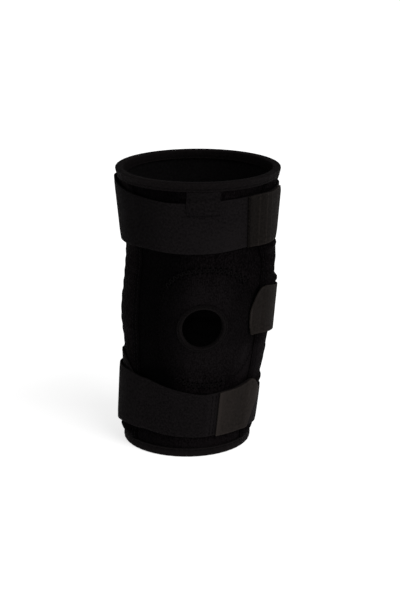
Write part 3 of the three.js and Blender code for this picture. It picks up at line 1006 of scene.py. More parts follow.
class ClothGroups:
    """Shader node groups that the finishes share, each built once."""

    GRAIN_INPUTS = {"Place": "Vector", "Size": "Float"}
    GRAIN_OUTPUTS = {"Height": "Float", "Shade": "Float"}
    TONE_INPUTS = {"Dark": "Color", "Pale": "Color", "Place": "Vector"} | dict.fromkeys(
        ("Shade", "Edge", "Seam"), "Float"
    )
    TONE_OUTPUTS = {"Colour": "Color", "Roughness": "Float"}
    # Colour that the seam mark, mostly painted shade, darkens towards.
    DARKENING_COLOUR = (0.0004, 0.0004, 0.0005, 1.0)

    def __init__(self) -> None:
        """Builds the groups."""
        self.grains = {Grain.PILE: self.pile(), Grain.WEAVE: self.weave(), Grain.RIB: self.rib()}
        self.tone = self.cloth_tone()

    @staticmethod
    def start(name: str, inputs: Kinds, outputs: Kinds) -> tuple[NodeTray, Sockets, Node]:
        """Starts a group with its sockets.

        Args:
            name: Name of the group.
            inputs: Kind of each input socket, by name.
            outputs: Kind of each output socket, by name.

        Returns:
            Its node tray, its inputs as sockets to read and the node that takes its outputs.
        """
        tree = bpy.data.node_groups.new(name, "ShaderNodeTree")
        for socket, kind in inputs.items():
            tree.interface.new_socket(socket, in_out="INPUT", socket_type="NodeSocket" + kind)
        for socket, kind in outputs.items():
            tree.interface.new_socket(socket, in_out="OUTPUT", socket_type="NodeSocket" + kind)
        given = tree.nodes.new("NodeGroupInput").outputs
        return NodeTray(tree), given, tree.nodes.new("NodeGroupOutput")

    def pile(self) -> NodeTree:
        """Short looped pile: close-set loops that tilt in clumps.

        Returns:
            The group.
        """
        tray, given, out = self.start("looped_pile", self.GRAIN_INPUTS, self.GRAIN_OUTPUTS)
        count = tray.maths("DIVIDE", 1.0, given["Size"])
        wales = tray.add("Mapping", Vector=given["Place"], Scale=(1.0, 1.0, 0.6)).outputs[0]
        loops = tray.add("TexVoronoi", Vector=wales, Scale=count, Randomness=0.9)
        clump_count = tray.maths("MULTIPLY", count, 0.95)
        clumps = tray.add("TexNoise", Vector=wales, Scale=clump_count, Detail=3.0, Roughness=0.65)
        crown = tray.maths("SUBTRACT", 1.0, loops.outputs["Distance"])
        height = tray.maths("ADD", tray.maths("MULTIPLY", crown, 0.6), clumps.outputs["Fac"])
        lean_and_shade = tray.add("MapRange", Value=clumps.outputs["Fac"], From_Min=0.41, From_Max=0.6)
        shade = tray.maths("MULTIPLY", lean_and_shade.outputs[0], tray.maths("ADD", crown, 0.25))
        tray.fill(out, Height=height, Shade=shade)
        return tray.tree

    def weave(self) -> NodeTree:
        """Plain weave: threads that pass over and under each other.

        Returns:
            The group.
        """
        tray, given, out = self.start("plain_weave", self.GRAIN_INPUTS, self.GRAIN_OUTPUTS)
        split = tray.add("SeparateXYZ", Vector=given["Place"])
        along = tray.maths("DIVIDE", split.outputs[0], given["Size"])
        across = tray.maths("DIVIDE", split.outputs[1], given["Size"])
        round_along, round_across = tray.ridges(along), tray.ridges(across)
        cells = tray.maths("ADD", tray.maths("FLOOR", along), tray.maths("FLOOR", across))
        over = tray.maths("FLOORED_MODULO", cells, 2.0)
        under = tray.maths("SUBTRACT", 1.0, over)
        height = tray.maths(
            "ADD", tray.maths("MULTIPLY", over, round_along), tray.maths("MULTIPLY", under, round_across)
        )
        slubs = tray.add("TexNoise", Vector=given["Place"], Scale=480.0, Detail=3.0, Roughness=0.6)
        yarn = tray.add("MapRange", Value=slubs.outputs["Fac"], From_Min=0.3, From_Max=0.7)
        shade = tray.maths("MULTIPLY", yarn.outputs[0], tray.maths("ADD", height, 0.4))
        tray.fill(out, Height=height, Shade=shade)
        return tray.tree

    def rib(self) -> NodeTree:
        """Fine ribs across a tape, with a little slub in the yarn.

        Returns:
            The group.
        """
        tray, given, out = self.start("ribbed_tape", self.GRAIN_INPUTS, self.GRAIN_OUTPUTS)
        split = tray.add("SeparateXYZ", Vector=given["Place"])
        slubs = tray.add("TexNoise", Vector=given["Place"], Scale=420.0, Detail=3.0, Roughness=0.6)
        sway = tray.maths("MULTIPLY", slubs.outputs["Fac"], 0.5)
        turns = tray.maths("ADD", tray.maths("DIVIDE", split.outputs[0], given["Size"]), sway)
        height = tray.ridges(turns)
        shade = tray.maths("MULTIPLY", slubs.outputs["Fac"], tray.maths("ADD", height, 0.4))
        tray.fill(out, Height=height, Shade=shade)
        return tray.tree

    def cloth_tone(self) -> NodeTree:
        """Colour and roughness of a cloth: mottled, paler with wear and painted highlights, darker in seams
        and with painted shade.

        Returns:
            The group.
        """
        tray, given, out = self.start("cloth_tone", self.TONE_INPUTS, self.TONE_OUTPUTS)
        wear_and_highlights = tray.add("TexNoise", Vector=given["Place"], Scale=55.0, Detail=4.0, Roughness=0.62)
        uneven = {"Value": wear_and_highlights.outputs["Fac"], "From_Min": 0.3, "From_Max": 0.7}
        mottle = tray.add("MapRange", **uneven, To_Min=-0.07, To_Max=0.08)
        strength = tray.add("MapRange", **uneven, To_Min=0.4, To_Max=0.6)
        wear_and_light = tray.maths("MULTIPLY", given["Edge"], strength.outputs[0])
        share = tray.maths("ADD", tray.maths("ADD", given["Shade"], mottle.outputs[0]), wear_and_light)
        kept = tray.maths("MAXIMUM", tray.maths("MINIMUM", share, 1.0), 0.0)
        cloth = tray.blend(kept, given["Dark"], given["Pale"])
        shadow = tray.maths("MINIMUM", tray.maths("MULTIPLY", given["Seam"], 0.85), 1.0)
        rough = tray.add("MapRange", Value=kept, From_Min=0.0, From_Max=1.0, To_Min=0.96, To_Max=0.72)
        tray.fill(out, Colour=tray.blend(shadow, cloth, self.DARKENING_COLOUR), Roughness=rough.outputs[0])
        return tray.tree


GROUPS = ClothGroups()


def paint(colour: Colour) -> tuple[float, float, float, float]:
    """Colour with full alpha, as a socket takes it."""
    return (*colour, 1.0)


def start_material(name: str) -> tuple[Material, NodeTray, Node]:
    """Starts a material.

    Args:
        name: Name of the material.

    Returns:
        The material, the tray of its nodes and its Principled BSDF.
    """
    material = bpy.data.materials.new(name)
    material.use_nodes = True
    return material, NodeTray(material.node_tree), material.node_tree.nodes["Principled BSDF"]


@dataclass(frozen=True)
class ClothFinish:
    """Finish of one cloth: two near tones, the grain of its surface and its sheen."""

    name: str
    dark: Colour
    pale: Colour
    grain: Grain
    size: float
    bump: float
    depth: float
    sheen: float
    specular: float
    sheen_roughness: float = 0.45

    def make(self) -> Material:
        """Builds the finish.

        Returns:
            The material, which reads the piece's own UV map and marks.
        """
        material, tray, shader = start_material(self.name)
        place = tray.add("TexCoord").outputs["Object" if self.grain is Grain.PILE else "UV"]
        grain = tray.add("Group", node_tree=GROUPS.grains[self.grain], Place=place, Size=self.size)
        tone = tray.add("Group", node_tree=GROUPS.tone, Dark=paint(self.dark), Pale=paint(self.pale))
        edge, seam = (tray.add("Attribute", attribute_name=name).outputs["Fac"] for name in MARKS)
        tray.fill(tone, Shade=grain.outputs["Shade"], Edge=edge, Seam=seam)
        tray.fill(tone, Place=tray.add("TexCoord").outputs["Object"])
        relief = tray.add("Bump", Strength=self.bump, Distance=self.depth, Height=grain.outputs["Height"])
        tray.fill(shader, Base_Color=tone.outputs["Colour"], Roughness=tone.outputs["Roughness"])
        tray.fill(shader, Normal=relief.outputs["Normal"], Specular_IOR_Level=self.specular)
        tray.fill(shader, Sheen_Weight=self.sheen, Sheen_Roughness=self.sheen_roughness)
        return material


@dataclass(frozen=True)
class ThreadFinish:
    """Finish of sewing thread: a twisted, slightly glossy yarn."""

    tone: ThreadTone = ThreadTone.PLAIN
    dark: Colour = (0.0020, 0.0018, 0.0019)
    pale: Colour = (0.0060, 0.0052, 0.0055)
    twist: float = 0.0006
    gloss: float = 0.03

    def make(self) -> Material:
        """Builds the finish.

        Returns:
            The material.
        """
        material, tray, shader = start_material(self.tone.value)
        place = tray.add("TexCoord").outputs["Object"]
        yarn = tray.add("TexNoise", Vector=place, Scale=1 / self.twist, Detail=2.0).outputs["Fac"]
        rough = tray.add("MapRange", Value=yarn, To_Min=0.45, To_Max=0.7)
        relief = tray.add("Bump", Strength=0.4, Distance=0.0002, Height=yarn)
        colour = tray.blend(yarn, paint(self.dark), paint(self.pale))
        tray.fill(shader, Base_Color=colour, Roughness=rough.outputs[0])
        tray.fill(shader, Normal=relief.outputs["Normal"], Specular_IOR_Level=self.gloss)
        return material


@dataclass(frozen=True)
class MetalFinish:
    """Finish of the stays: brushed sheet metal with fine scratches."""

    name: str = "brushed_stay"
    dark: Colour = (0.24, 0.245, 0.25)
    pale: Colour = (0.38, 0.385, 0.39)
    scratches: Point = (900.0, 900.0, 30.0)

    def make(self) -> Material:
        """Builds the finish.

        Returns:
            The material.
        """
        material, tray, shader = start_material(self.name)
        place = tray.add("Mapping", Vector=tray.add("TexCoord").outputs["Object"], Scale=self.scratches)
        brushed = tray.add("TexNoise", Vector=place.outputs[0], Scale=1.0, Detail=4.0).outputs["Fac"]
        rough = tray.add("MapRange", Value=brushed, To_Min=0.3, To_Max=0.5)
        colour = tray.blend(brushed, paint(self.dark), paint(self.pale))
        tray.fill(shader, Base_Color=colour, Roughness=rough.outputs[0], Metallic=1.0)
        return material


class Finishes:
    """The brace's finishes, each made once."""

    def __init__(self) -> None:
        """Makes every material."""
        self.sleeve = ClothFinish(
            "sleeve_pile", dark=(0.0006, 0.0003, 0.0004), pale=(0.0052, 0.0042, 0.0046), grain=Grain.PILE,
            size=0.0011, bump=0.7, depth=0.0009, sheen=0.002, specular=0.004,
        ).make()
        self.lining = ClothFinish(
            "sleeve_lining", dark=(0.0022, 0.0020, 0.0021), pale=(0.0070, 0.0064, 0.0067),
            grain=Grain.WEAVE, size=0.0009, bump=0.4, depth=0.0003, sheen=0.004, specular=0.01,
        ).make()
        self.panel = ClothFinish(
            "panel_pile", dark=(0.0008, 0.0005, 0.0006), pale=(0.0060, 0.0050, 0.0054), grain=Grain.PILE,
            size=0.0010, bump=0.6, depth=0.0007, sheen=0.002, specular=0.005,
        ).make()
        self.binding = ClothFinish(
            "binding_tape", dark=(0.0022, 0.0018, 0.0019), pale=(0.0080, 0.0066, 0.0069), grain=Grain.RIB,
            size=0.0011, bump=0.6, depth=0.0004, sheen=0.004, specular=0.015,
        ).make()
        self.strap = ClothFinish(
            "strap_cloth", dark=(0.0026, 0.0022, 0.0024), pale=(0.0082, 0.0070, 0.0074), grain=Grain.WEAVE,
            size=0.0010, bump=0.5, depth=0.0004, sheen=0.003, specular=0.012,
        ).make()
        self.tab = ClothFinish(
            "tab_cloth", dark=(0.0036, 0.0030, 0.0027), pale=(0.0190, 0.0154, 0.0138), grain=Grain.RIB,
            size=0.0008, bump=0.3, depth=0.0002, sheen=0.004, specular=0.03,
        ).make()
        dark_thread = ThreadFinish(
            ThreadTone.DARK, dark=(0.0014, 0.0011, 0.0012), pale=(0.0044, 0.0036, 0.0040), gloss=0.006
        )
        # Painted shade in the needle holes.
        needle_hole_shadow = ThreadFinish(
            ThreadTone.HOLE_SHADOW, dark=(0.0001, 0.0001, 0.0001), pale=(0.0004, 0.0003, 0.0004), gloss=0.0
        )
        self.threads = {finish.tone: finish.make() for finish in (ThreadFinish(), dark_thread, needle_hole_shadow)}
        self.metal = MetalFinish().make()


FINISHES = Finishes()


def enter(piece: Piece, node: str | None = None) -> None:
    """Gives a finished piece its place in the part, and logs it.

    Args:
        piece: The finished mesh.
        node: CAD node that the piece replaces, if it has one.
    """
    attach(piece, BODY)
    if node:
        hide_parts(node)
    LOG.info("%s: %d faces", piece.name, len(piece.data.polygons))


@dataclass(frozen=True)
class Cloth:
    """What a single layer of cloth is made up into: its thickness, its cut edges and its finishes."""

    thickness: float
    edge: float
    finish: Material
    lining: Material | None = None

    def make_up(self, piece: Piece, node: str) -> None:
        """Gives a layer its thickness inwards, rounds its cut edges and finishes it.

        Args:
            piece: The single layer, which is the cloth's outside.
            node: CAD node that the piece replaces.
        """
        piece.data.materials.append(self.finish)
        if self.lining:
            piece.data.materials.append(self.lining)
        lining_slot = 1 if self.lining else 0
        work_modifier(piece, "SOLIDIFY", thickness=self.thickness, offset=-1, material_offset=lining_slot)
        rounding = {"segments": 2, "limit_method": "ANGLE", "angle_limit": math.radians(50)}
        work_modifier(piece, "BEVEL", width=self.edge, **rounding)
        soften(piece)
        enter(piece, node)


@dataclass(frozen=True)
class Thread:
    """Sewing thread: short stitches that rise out of the cloth and dive back into it."""

    radius: float = 0.00026
    stitch: float = 0.0029
    gap: float = 0.0009
    sides: int = 6
    tone: ThreadTone = ThreadTone.PLAIN
    stations: Places = (0.0, 0.14, 0.5, 0.86, 1.0)
    rises: Places = (-1.2, 0.45, 0.9, 0.45, -1.2)

    def row(self, path: Array, normals: Array) -> Stitches:
        """Divides a path into a row of stitches.

        Args:
            path: Points along the row.
            normals: Directions out of the cloth at those points.

        Returns:
            Starts, ends and normals of the stitches.
        """
        run = np.concatenate(([0], np.cumsum(np.linalg.norm(np.diff(path, axis=0), axis=1))))
        count = max(1, int(run[-1] / (self.stitch + self.gap)))
        pitch = run[-1] / count
        begin = pitch * np.arange(count)
        long = pitch * self.stitch / (self.stitch + self.gap)

        def at(values: Array, place: Array) -> Array:
            """Reads a path's values at distances along it."""
            return np.column_stack([np.interp(place, run, column) for column in values.T])

        return at(path, begin), at(path, begin + long), at(normals, begin + long / 2)

    def on_sleeve(self, angle: Array, z: Array, offset: Array | float) -> Stitches:
        """Row of stitches along places on the sleeve.

        Args:
            angle: Angles along the row.
            z: Heights along the row.
            offset: Distance of the cloth's face outside the sleeve; inside the leg's hollow it is negative.

        Returns:
            Starts, ends and normals of the stitches.
        """
        normals = LEG.outward(angle, z)
        inside = np.broadcast_to(np.asarray(offset) < 0, angle.shape)
        return self.row(LEG.sleeve(angle, z, offset), np.where(inside[:, None], -normals, normals))

    def on_band(self, band: Band, angle: Array, share: Array, over: float) -> Stitches:
        """Row of stitches along places on a strap or tab.

        Args:
            band: Run of the strap.
            angle: Angles along the row.
            share: Shares of the strap's width along the row.
            over: Distance of the cloth's face over the strap's seat.

        Returns:
            Starts, ends and normals of the stitches.
        """
        middle = lerp(band.low(angle), band.high(angle), share)
        return self.row(band.point(angle, share, over), LEG.outward(angle, middle))

    def faces_of_one(self) -> list[tuple[int, ...]]:
        """Faces of one stitch: a tube through its stations with both ends closed.

        Returns:
            Point numbers of each face.
        """
        faces = []
        for ring in range(len(self.stations) - 1):
            for turn in range(self.sides):
                here, there = ring * self.sides + turn, ring * self.sides + (turn + 1) % self.sides
                faces.append((here, there, there + self.sides, here + self.sides))
        size = len(self.stations) * self.sides
        return [*faces, tuple(reversed(range(self.sides))), tuple(range(size - self.sides, size))]

    def sew(self, name: str, rows: list[Stitches]) -> Piece:
        """Makes all the stitches of some rows as one mesh.

        Args:
            name: Name of the piece.
            rows: Starts, ends and normals of each row's stitches.

        Returns:
            The finished stitches.
        """
        start, end, normal = (np.concatenate(part) for part in zip(*rows))
        along = end - start
        side = np.cross(along, normal)
        side /= np.linalg.norm(side, axis=1, keepdims=True)
        turns = np.linspace(0, 2 * np.pi, self.sides, endpoint=False)
        rings = []
        for station, rise in zip(self.stations, self.rises):
            middle = start + along * station + normal * (rise * self.radius)
            for turn in turns:
                rings.append(middle + self.radius * (normal * math.cos(turn) + side * math.sin(turn)))
        points = np.stack(rings, axis=1).reshape(-1, 3)
        size, shape = len(rings), self.faces_of_one()
        faces = [tuple(size * i + v for v in face) for i in range(len(start)) for face in shape]
        mesh = bpy.data.meshes.new(name)
        mesh.from_pydata(points.tolist(), [], faces)
        mesh.materials.append(FINISHES.threads[self.tone])
        piece = bpy.data.objects.new(name, mesh)
        bpy.context.scene.collection.objects.link(piece)
        soften(piece, angle=180)
        enter(piece)
        return piece


THREAD = Thread()
FLUSH_THREAD = Thread(radius=0.00022, rises=(-1.6, -0.5, -0.2, -0.5, -1.6))
DARK_THREAD = Thread(radius=0.00022, tone=ThreadTone.DARK)
SUNK_THREAD = Thread(radius=0.00022, tone=ThreadTone.DARK, rises=(-1.6, -0.5, -0.2, -0.5, -1.6))
TAUT_THREAD = Thread(radius=0.0003, rises=(-1.6, -0.4, 0.0, -0.4, -1.6))
# Near-black tubes sunk at the needle places: painted shade in the holes.
NEEDLE_HOLE_SHADOW = Thread(radius=0.0016, tone=ThreadTone.HOLE_SHADOW, rises=(-1.5, -0.88, -0.79, -0.88, -1.5))


@dataclass
class Sleeve:
    """The padded sleeve with its lining and the closing seam behind."""

    low: float = 0.00195
    high: float = 0.25705
    columns: int = 200
    rows: int = 126
    flat_scale: float = 0.0011
    window_turns: Pair = (-46.8, 63.0)
    window_heights: Pair = (0.0565, 0.1927)
    rings: int = 9
    fine_reach: float = 0.0045
    fine_cuts: int = 2
    opening_ease: float = 0.0002
    edge_ease: float = 1e-5
    off_seam: float = 1.0
    crease_depth: float = 0.0005
    crease_share: float = 0.6
    creased_turn: Ramp = Ramp(60, 100)
    creased_above: Ramp = Ramp(0.062, 0.082)
    creased_below: Ramp = Ramp(0.192, 0.172)
    fine_wave: float = 0.0021
    wide_wave: float = 0.0034
    wide_share: float = 0.7
    wide_sway: float = 1.3
    wide_start: float = 1.0
    sway: Rows = (
        # height, waves round the leg, start in degrees
        (1.6, 2, 40),
        (1.1, 5, 0),
    )
    crest_wear: float = 0.25
    highlight_weight: float = 1.7
    foot_wear: Ramp = Ramp(0.018, 0.012, 0.55)
    lean_and_shade: float = 0.8
    fill: float = 0.35
    back_needles: int = 96
    back_half_turn: float = 1.7
    back_margin: float = 0.008

    def lay_flat(self) -> Piece:
        """Cuts the flat sleeve, with its angle as width, and the oval window for the panel.

        Returns:
            The flat piece: angle times the flat scale across, and height up.
        """
        piece, along, across = cut_swatch("sleeve_cloth", self.columns, self.rows)
        flat = np.zeros((len(along), 3))
        flat[:, 0] = (along - 0.5) * 360 * self.flat_scale
        flat[:, 1] = lerp(self.low, self.high, across)
        move_points(piece, flat)
        self.cut_window(piece)
        return piece

    def cut_window(self, piece: Piece) -> None:
        """Cuts a square window and extrudes its edge inwards, ring by ring, until it is the oval.

        Args:
            piece: The flat sleeve.
        """
        left, right = self.window_turns
        bottom, top = self.window_heights
        take_up(piece)
        bpy.ops.object.mode_set(mode="EDIT")
        bpy.ops.mesh.select_all(action="DESELECT")
        cloth = bmesh.from_edit_mesh(piece.data)
        for face in cloth.faces:
            middle = face.calc_center_median()
            face.select_set(left < middle.x / self.flat_scale < right and bottom < middle.y < top)
        bmesh.update_edit_mesh(piece.data)
        bpy.ops.mesh.delete(type="FACE")
        bpy.ops.mesh.select_mode(type="EDGE")
        cloth = bmesh.from_edit_mesh(piece.data)
        for edge in cloth.edges:
            edge.select_set(edge.is_boundary and all(self.is_in_cloth(corner.co) for corner in edge.verts))
        bmesh.update_edit_mesh(piece.data)
        for left_over in range(self.rings, 0, -1):
            bpy.ops.mesh.extrude_edges_move()
            self.draw_in(piece, left_over)
        self.refine_seam(piece)
        bpy.ops.object.mode_set(mode="OBJECT")

    def draw_in(self, piece: Piece, left_over: int) -> None:
        """Moves the selected edge towards the oval.

        Args:
            piece: The flat sleeve, in edit mode.
            left_over: Rings still to come, with this one; the last ring lies on the oval.
        """
        cloth = bmesh.from_edit_mesh(piece.data)
        moved = [vertex for vertex in cloth.verts if vertex.select]
        flat = np.array([vertex.co for vertex in moved])
        front = LEG.smooth(flat[:, 0] / self.flat_scale, flat[:, 1])
        x, z = PANEL_OVAL.places(PANEL_OVAL.theta_at(front[:, 0], flat[:, 1]), self.opening_ease)
        goal = np.column_stack((LEG.angle_at(x, z) * self.flat_scale, z, np.zeros(len(x))))
        for vertex, place in zip(moved, lerp(flat, goal, 1 / left_over)):
            vertex.co = place
        bmesh.update_edit_mesh(piece.data)

    def is_in_cloth(self, place: Vector) -> bool:
        """Whether a place lies away from the outer edges of the flat sleeve."""
        half = 180 * self.flat_scale - self.edge_ease
        return abs(place.x) < half and self.low + self.edge_ease < place.y < self.high - self.edge_ease

    def refine_seam(self, piece: Piece) -> None:
        """Divides the faces along the oval more finely, for the needle places.

        Args:
            piece: The flat sleeve, in edit mode.
        """
        bpy.ops.mesh.select_mode(type="FACE")
        bpy.ops.mesh.select_all(action="DESELECT")
        cloth = bmesh.from_edit_mesh(piece.data)
        middles = np.array([face.calc_center_median() for face in cloth.faces])
        angle, z = middles[:, 0] / self.flat_scale, middles[:, 1]
        outside = PANEL_OVAL.outside(LEG.smooth(angle, z)[:, 0], z)
        near = (np.abs(angle) < FRONT_HALF) & (outside < self.fine_reach)
        for face, is_near in zip(cloth.faces, near):
            face.select_set(bool(is_near))
        bmesh.update_edit_mesh(piece.data)
        bpy.ops.mesh.subdivide(number_cuts=self.fine_cuts)

    def creases(self, angle: Array, z: Array) -> Array:
        """Fine creases at the sides and the back of the knee, which only push inwards.

        Args:
            angle: Angles round the leg.
            z: Heights.

        Returns:
            Distance outwards for each place.
        """
        sides = self.creased_turn.at(np.abs(turn_near(angle, 0)))
        knee = self.creased_above.at(z) * self.creased_below.at(z)
        sway = sum(high * np.sin(np.radians(waves * angle + start)) for high, waves, start in self.sway)
        wide = self.wide_share * np.sin(z / self.wide_wave - self.wide_sway * sway + self.wide_start)
        waves = np.sin(z / self.fine_wave + sway) + wide
        return -self.crease_depth * sides * knee * (1 + self.crease_share * waves)

    def worn_and_lit(self, angle: Array, z: Array) -> Array:
        """How pale the pile is: worn on its creases and below the lower strap, with a painted highlight at
        the right.
        """
        crest = np.clip(self.creases(angle, z) / self.crease_depth + 1, 0, 1)
        return self.crest_wear * crest + self.highlight_weight * PILE.painted_highlight(angle, z) + self.foot_wear.at(z)

    def build(self) -> None:
        """Wraps the flat sleeve round the leg, sews it shut and gives it its thickness."""
        piece = self.lay_flat()
        flat = points_of(piece)
        angle, z = flat[:, 0] / self.flat_scale, flat[:, 1]
        lay_uv(piece, flat[:, 0], flat[:, 1])
        smooth = LEG.sleeve(angle, z)
        front = np.abs(angle) < FRONT_HALF
        from_seam = np.where(front, PANEL_OVAL.outside(smooth[:, 0], z), self.off_seam)
        depth, sewn_shade = ZIGZAG.draw_in(smooth, from_seam)
        move_points(piece, LEG.sleeve(angle, z, self.creases(angle, z) - depth))
        # Painted shade: on the side away from the light and beside the middle tab.
        shade = np.maximum(self.lean_and_shade * PILE.lean_and_shade(angle, z), TAB_SHADE.at(angle, z))
        mark(piece, self.worn_and_lit(angle, z), np.maximum(sewn_shade, shade))
        sew_edges(piece)
        cloth = Cloth(LEG.wall - WALL_EASE, CUT_EDGE, FINISHES.sleeve, FINISHES.lining)
        cloth.make_up(piece, "sleeve")

    def close_seam(self) -> None:
        """Sews the zigzag that closes the sleeve behind."""
        z = np.linspace(self.low + self.back_margin, self.high - self.back_margin, self.back_needles)
        angle = 180 + self.back_half_turn * np.where(np.arange(self.back_needles) % 2 == 0, 1, -1)
        points, normals = LEG.sleeve(angle, z, self.creases(angle, z)), LEG.outward(angle, z)
        THREAD.sew("back_seam_stitches", [(points[:-1], points[1:], normals[:-1])])

    def make(self) -> None:
        """Makes the sleeve with its closing seam."""
        self.build()
        self.close_seam()


@dataclass(frozen=True)
class PatellaBinding:
    """Tape folded over the edge of the patella hole and sewn down."""

    flat: Pair = (0.0135, 0.126)
    columns: int = 144
    rows: int = 20
    width: float = 0.0032
    thickness: float = 0.0010
    reach: float = 0.0011
    lip: float = 0.34
    rib_run: float = 0.015
    row_inset: float = 0.0012
    row_dip: Line = Line(0.0003, 0.0006)
    row_shade: Line = Line(0.3, 0.0005)
    row_samples: int = 200
    edge_dip: float = 0.0005
    fold_wear: float = 0.3
    shade: float = 0.12

    def build(self) -> Piece:
        """Folds the tape over the hole's edge.

        Returns:
            The finished tape.
        """
        piece, along, across = cut_swatch("patella_binding_tape", self.columns, self.rows)
        half_wall = LEG.wall / 2 + GAP + self.thickness
        turn = np.clip((across - self.lip) / (1 - 2 * self.lip), 0, 1) * np.pi
        flat_run = np.maximum(self.lip - across, across - (1 - self.lip)) / self.lip
        grow = np.where(flat_run > 0, flat_run * self.width, -self.reach * np.sin(turn))
        from_row = grow - self.width + self.row_inset
        press = self.row_dip.at(from_row) + self.edge_dip * np.clip(flat_run, 0, 1) ** 2
        offset = -LEG.wall / 2 - half_wall * np.cos(turn)
        offset = offset - press * np.sign(offset + LEG.wall / 2)
        x, z = HOLE_OVAL.places(-2 * np.pi * along, grow)
        lay_uv(piece, along * 2 * np.pi * HOLE_OVAL.half_width, across * self.rib_run)
        move_points(piece, LEG.sleeve(LEG.angle_at(x, z), z, offset))
        mark(piece, self.fold_wear * np.sin(turn), self.shade + self.row_shade.at(from_row))
        sew_edges(piece)
        Cloth(self.thickness, TAPE_EDGE, FINISHES.binding).make_up(piece, "patella_binding")
        return piece

    def sew_down(self) -> Piece:
        """Sews a row of stitches round the hole's binding, outside and inside.

        Returns:
            The stitches.
        """
        theta = np.linspace(0, 2 * np.pi, self.row_samples)
        x, z = HOLE_OVAL.places(theta, self.width - self.row_inset)
        angle = LEG.angle_at(x, z)
        face = GAP + self.thickness
        rows = [THREAD.on_sleeve(angle, z, offset) for offset in (face, -LEG.wall - face)]
        return THREAD.sew("patella_binding_stitches", rows)

    def make(self) -> None:
        """Makes the tape with its stitches."""
        tape, stitches = self.build(), self.sew_down()


@dataclass
class PatellaPanel:
    """The oval panel in front, its bound hole and the zigzag that joins it to the sleeve."""

    binding: PatellaBinding = PatellaBinding()
    columns: int = 448
    inner_rows: int = 20
    seam_rows: int = 12
    seam_reach: float = 0.005
    flat_radius: float = 0.0652
    bound_dip: Line = Line(0.0004, 0.0015)
    lean_and_shade: float = 0.7
    right_shade: Ramp = Ramp(14, 32, 0.38)
    right_height: Ramp = Ramp(0.098, 0.112)
    paler: Ramp = Ramp(1.25, 0.25, 0.8)
    highlight_weight: float = 0.8
    fill: float = 0.3
    taut_from: float = 0.5
    thread_sink: float = 0.00005
    back_rise: float = 0.0001
    hole_length: float = 0.0026
    hole_rise: float = 0.0006

    def spread(self, across: Array) -> Array:
        """Spaces the rows from hole to seam, closer together near the seam.

        Args:
            across: Places across the swatch.

        Returns:
            Share of the way for each place.
        """
        knee = self.inner_rows / (self.inner_rows + self.seam_rows)
        near = 1 - self.seam_reach / (PANEL_OVAL.half_width - HOLE_OVAL.half_width)
        return np.where(across < knee, near * across / knee, lerp(near, 1, (across - knee) / (1 - knee)))

    def build(self) -> None:
        """Shapes the panel between its hole and its seam."""
        rows = self.inner_rows + self.seam_rows
        piece, along, across = cut_swatch("patella_panel_cloth", self.columns, rows)
        theta = -2 * np.pi * along
        hole_x, hole_z = HOLE_OVAL.places(theta - math.radians(HOLE_OVAL.turn))
        rim_x, rim_z = PANEL_OVAL.places(theta)
        share = self.spread(across)
        x, z = lerp(hole_x, rim_x, share), lerp(hole_z, rim_z, share)
        angle = LEG.angle_at(x, z)
        lay_uv(piece, np.radians(angle) * self.flat_radius, z)
        depth, sewn_shade = ZIGZAG.draw_in(LEG.sleeve(angle, z), PANEL_OVAL.outside(x, z))
        from_tape = np.maximum(HOLE_OVAL.outside(x, z) - self.binding.width, 0)
        move_points(piece, LEG.sleeve(angle, z, -depth - self.bound_dip.at(from_tape)))
        # Painted shade at the upper right and away from the light, and a painted highlight at the lit
        # right.
        right = self.right_shade.at(angle) * self.right_height.at(z)
        shade = np.maximum(self.lean_and_shade * PILE.lean_and_shade(angle, z) + right, TAB_SHADE.at(angle, z))
        worn_and_lit = self.paler.at(share) + self.highlight_weight * PILE.painted_highlight(angle, z)
        mark(piece, worn_and_lit, np.maximum(sewn_shade, shade))
        sew_edges(piece)
        cloth = Cloth(LEG.wall - WALL_EASE, CUT_EDGE, FINISHES.panel, FINISHES.lining)
        cloth.make_up(piece, "patella_panel")

    def sew_zigzag(self) -> None:
        """Sews the zigzag from needle place to needle place, outside and inside."""
        angle, z = ZIGZAG.needles()
        front = LEG.sleeve(angle, z, -self.thread_sink)
        back = LEG.sleeve(angle, z, -LEG.wall - self.back_rise)
        front_end, back_end = np.roll(front, -1, axis=0), np.roll(back, -1, axis=0)
        normals = LEG.outward(angle, z)
        taut = ZIGZAG.tension(front) > self.taut_from
        slack = [(front[~taut], front_end[~taut], normals[~taut]), (back, back_end, -normals)]
        TAUT_THREAD.sew("zigzag_taut_stitches", [(front[taut], front_end[taut], normals[taut])])
        SUNK_THREAD.sew("zigzag_stitches", slack)
        self.shade_needle_holes(angle[taut], z[taut])

    def shade_needle_holes(self, angle: Array, z: Array) -> None:
        """Puts a short near-black tube at each needle place, painted shade in its hole.

        Args:
            angle: Angles of the needle places where the thread is taut.
            z: Heights of those places.
        """
        depth = -ZIGZAG.needle_depth * ZIGZAG.tension(LEG.sleeve(angle, z))
        rise = np.array((0.0, 0.0, self.hole_length / 2))
        middle, normals = LEG.sleeve(angle, z, depth + self.hole_rise), LEG.outward(angle, z)
        NEEDLE_HOLE_SHADOW.sew("zigzag_needle_hole_shadows", [(middle - rise, middle + rise, normals)])

    def make(self) -> None:
        """Makes the panel, its bound hole and the zigzag round it."""
        self.build()
        self.binding.make()
        self.sew_zigzag()


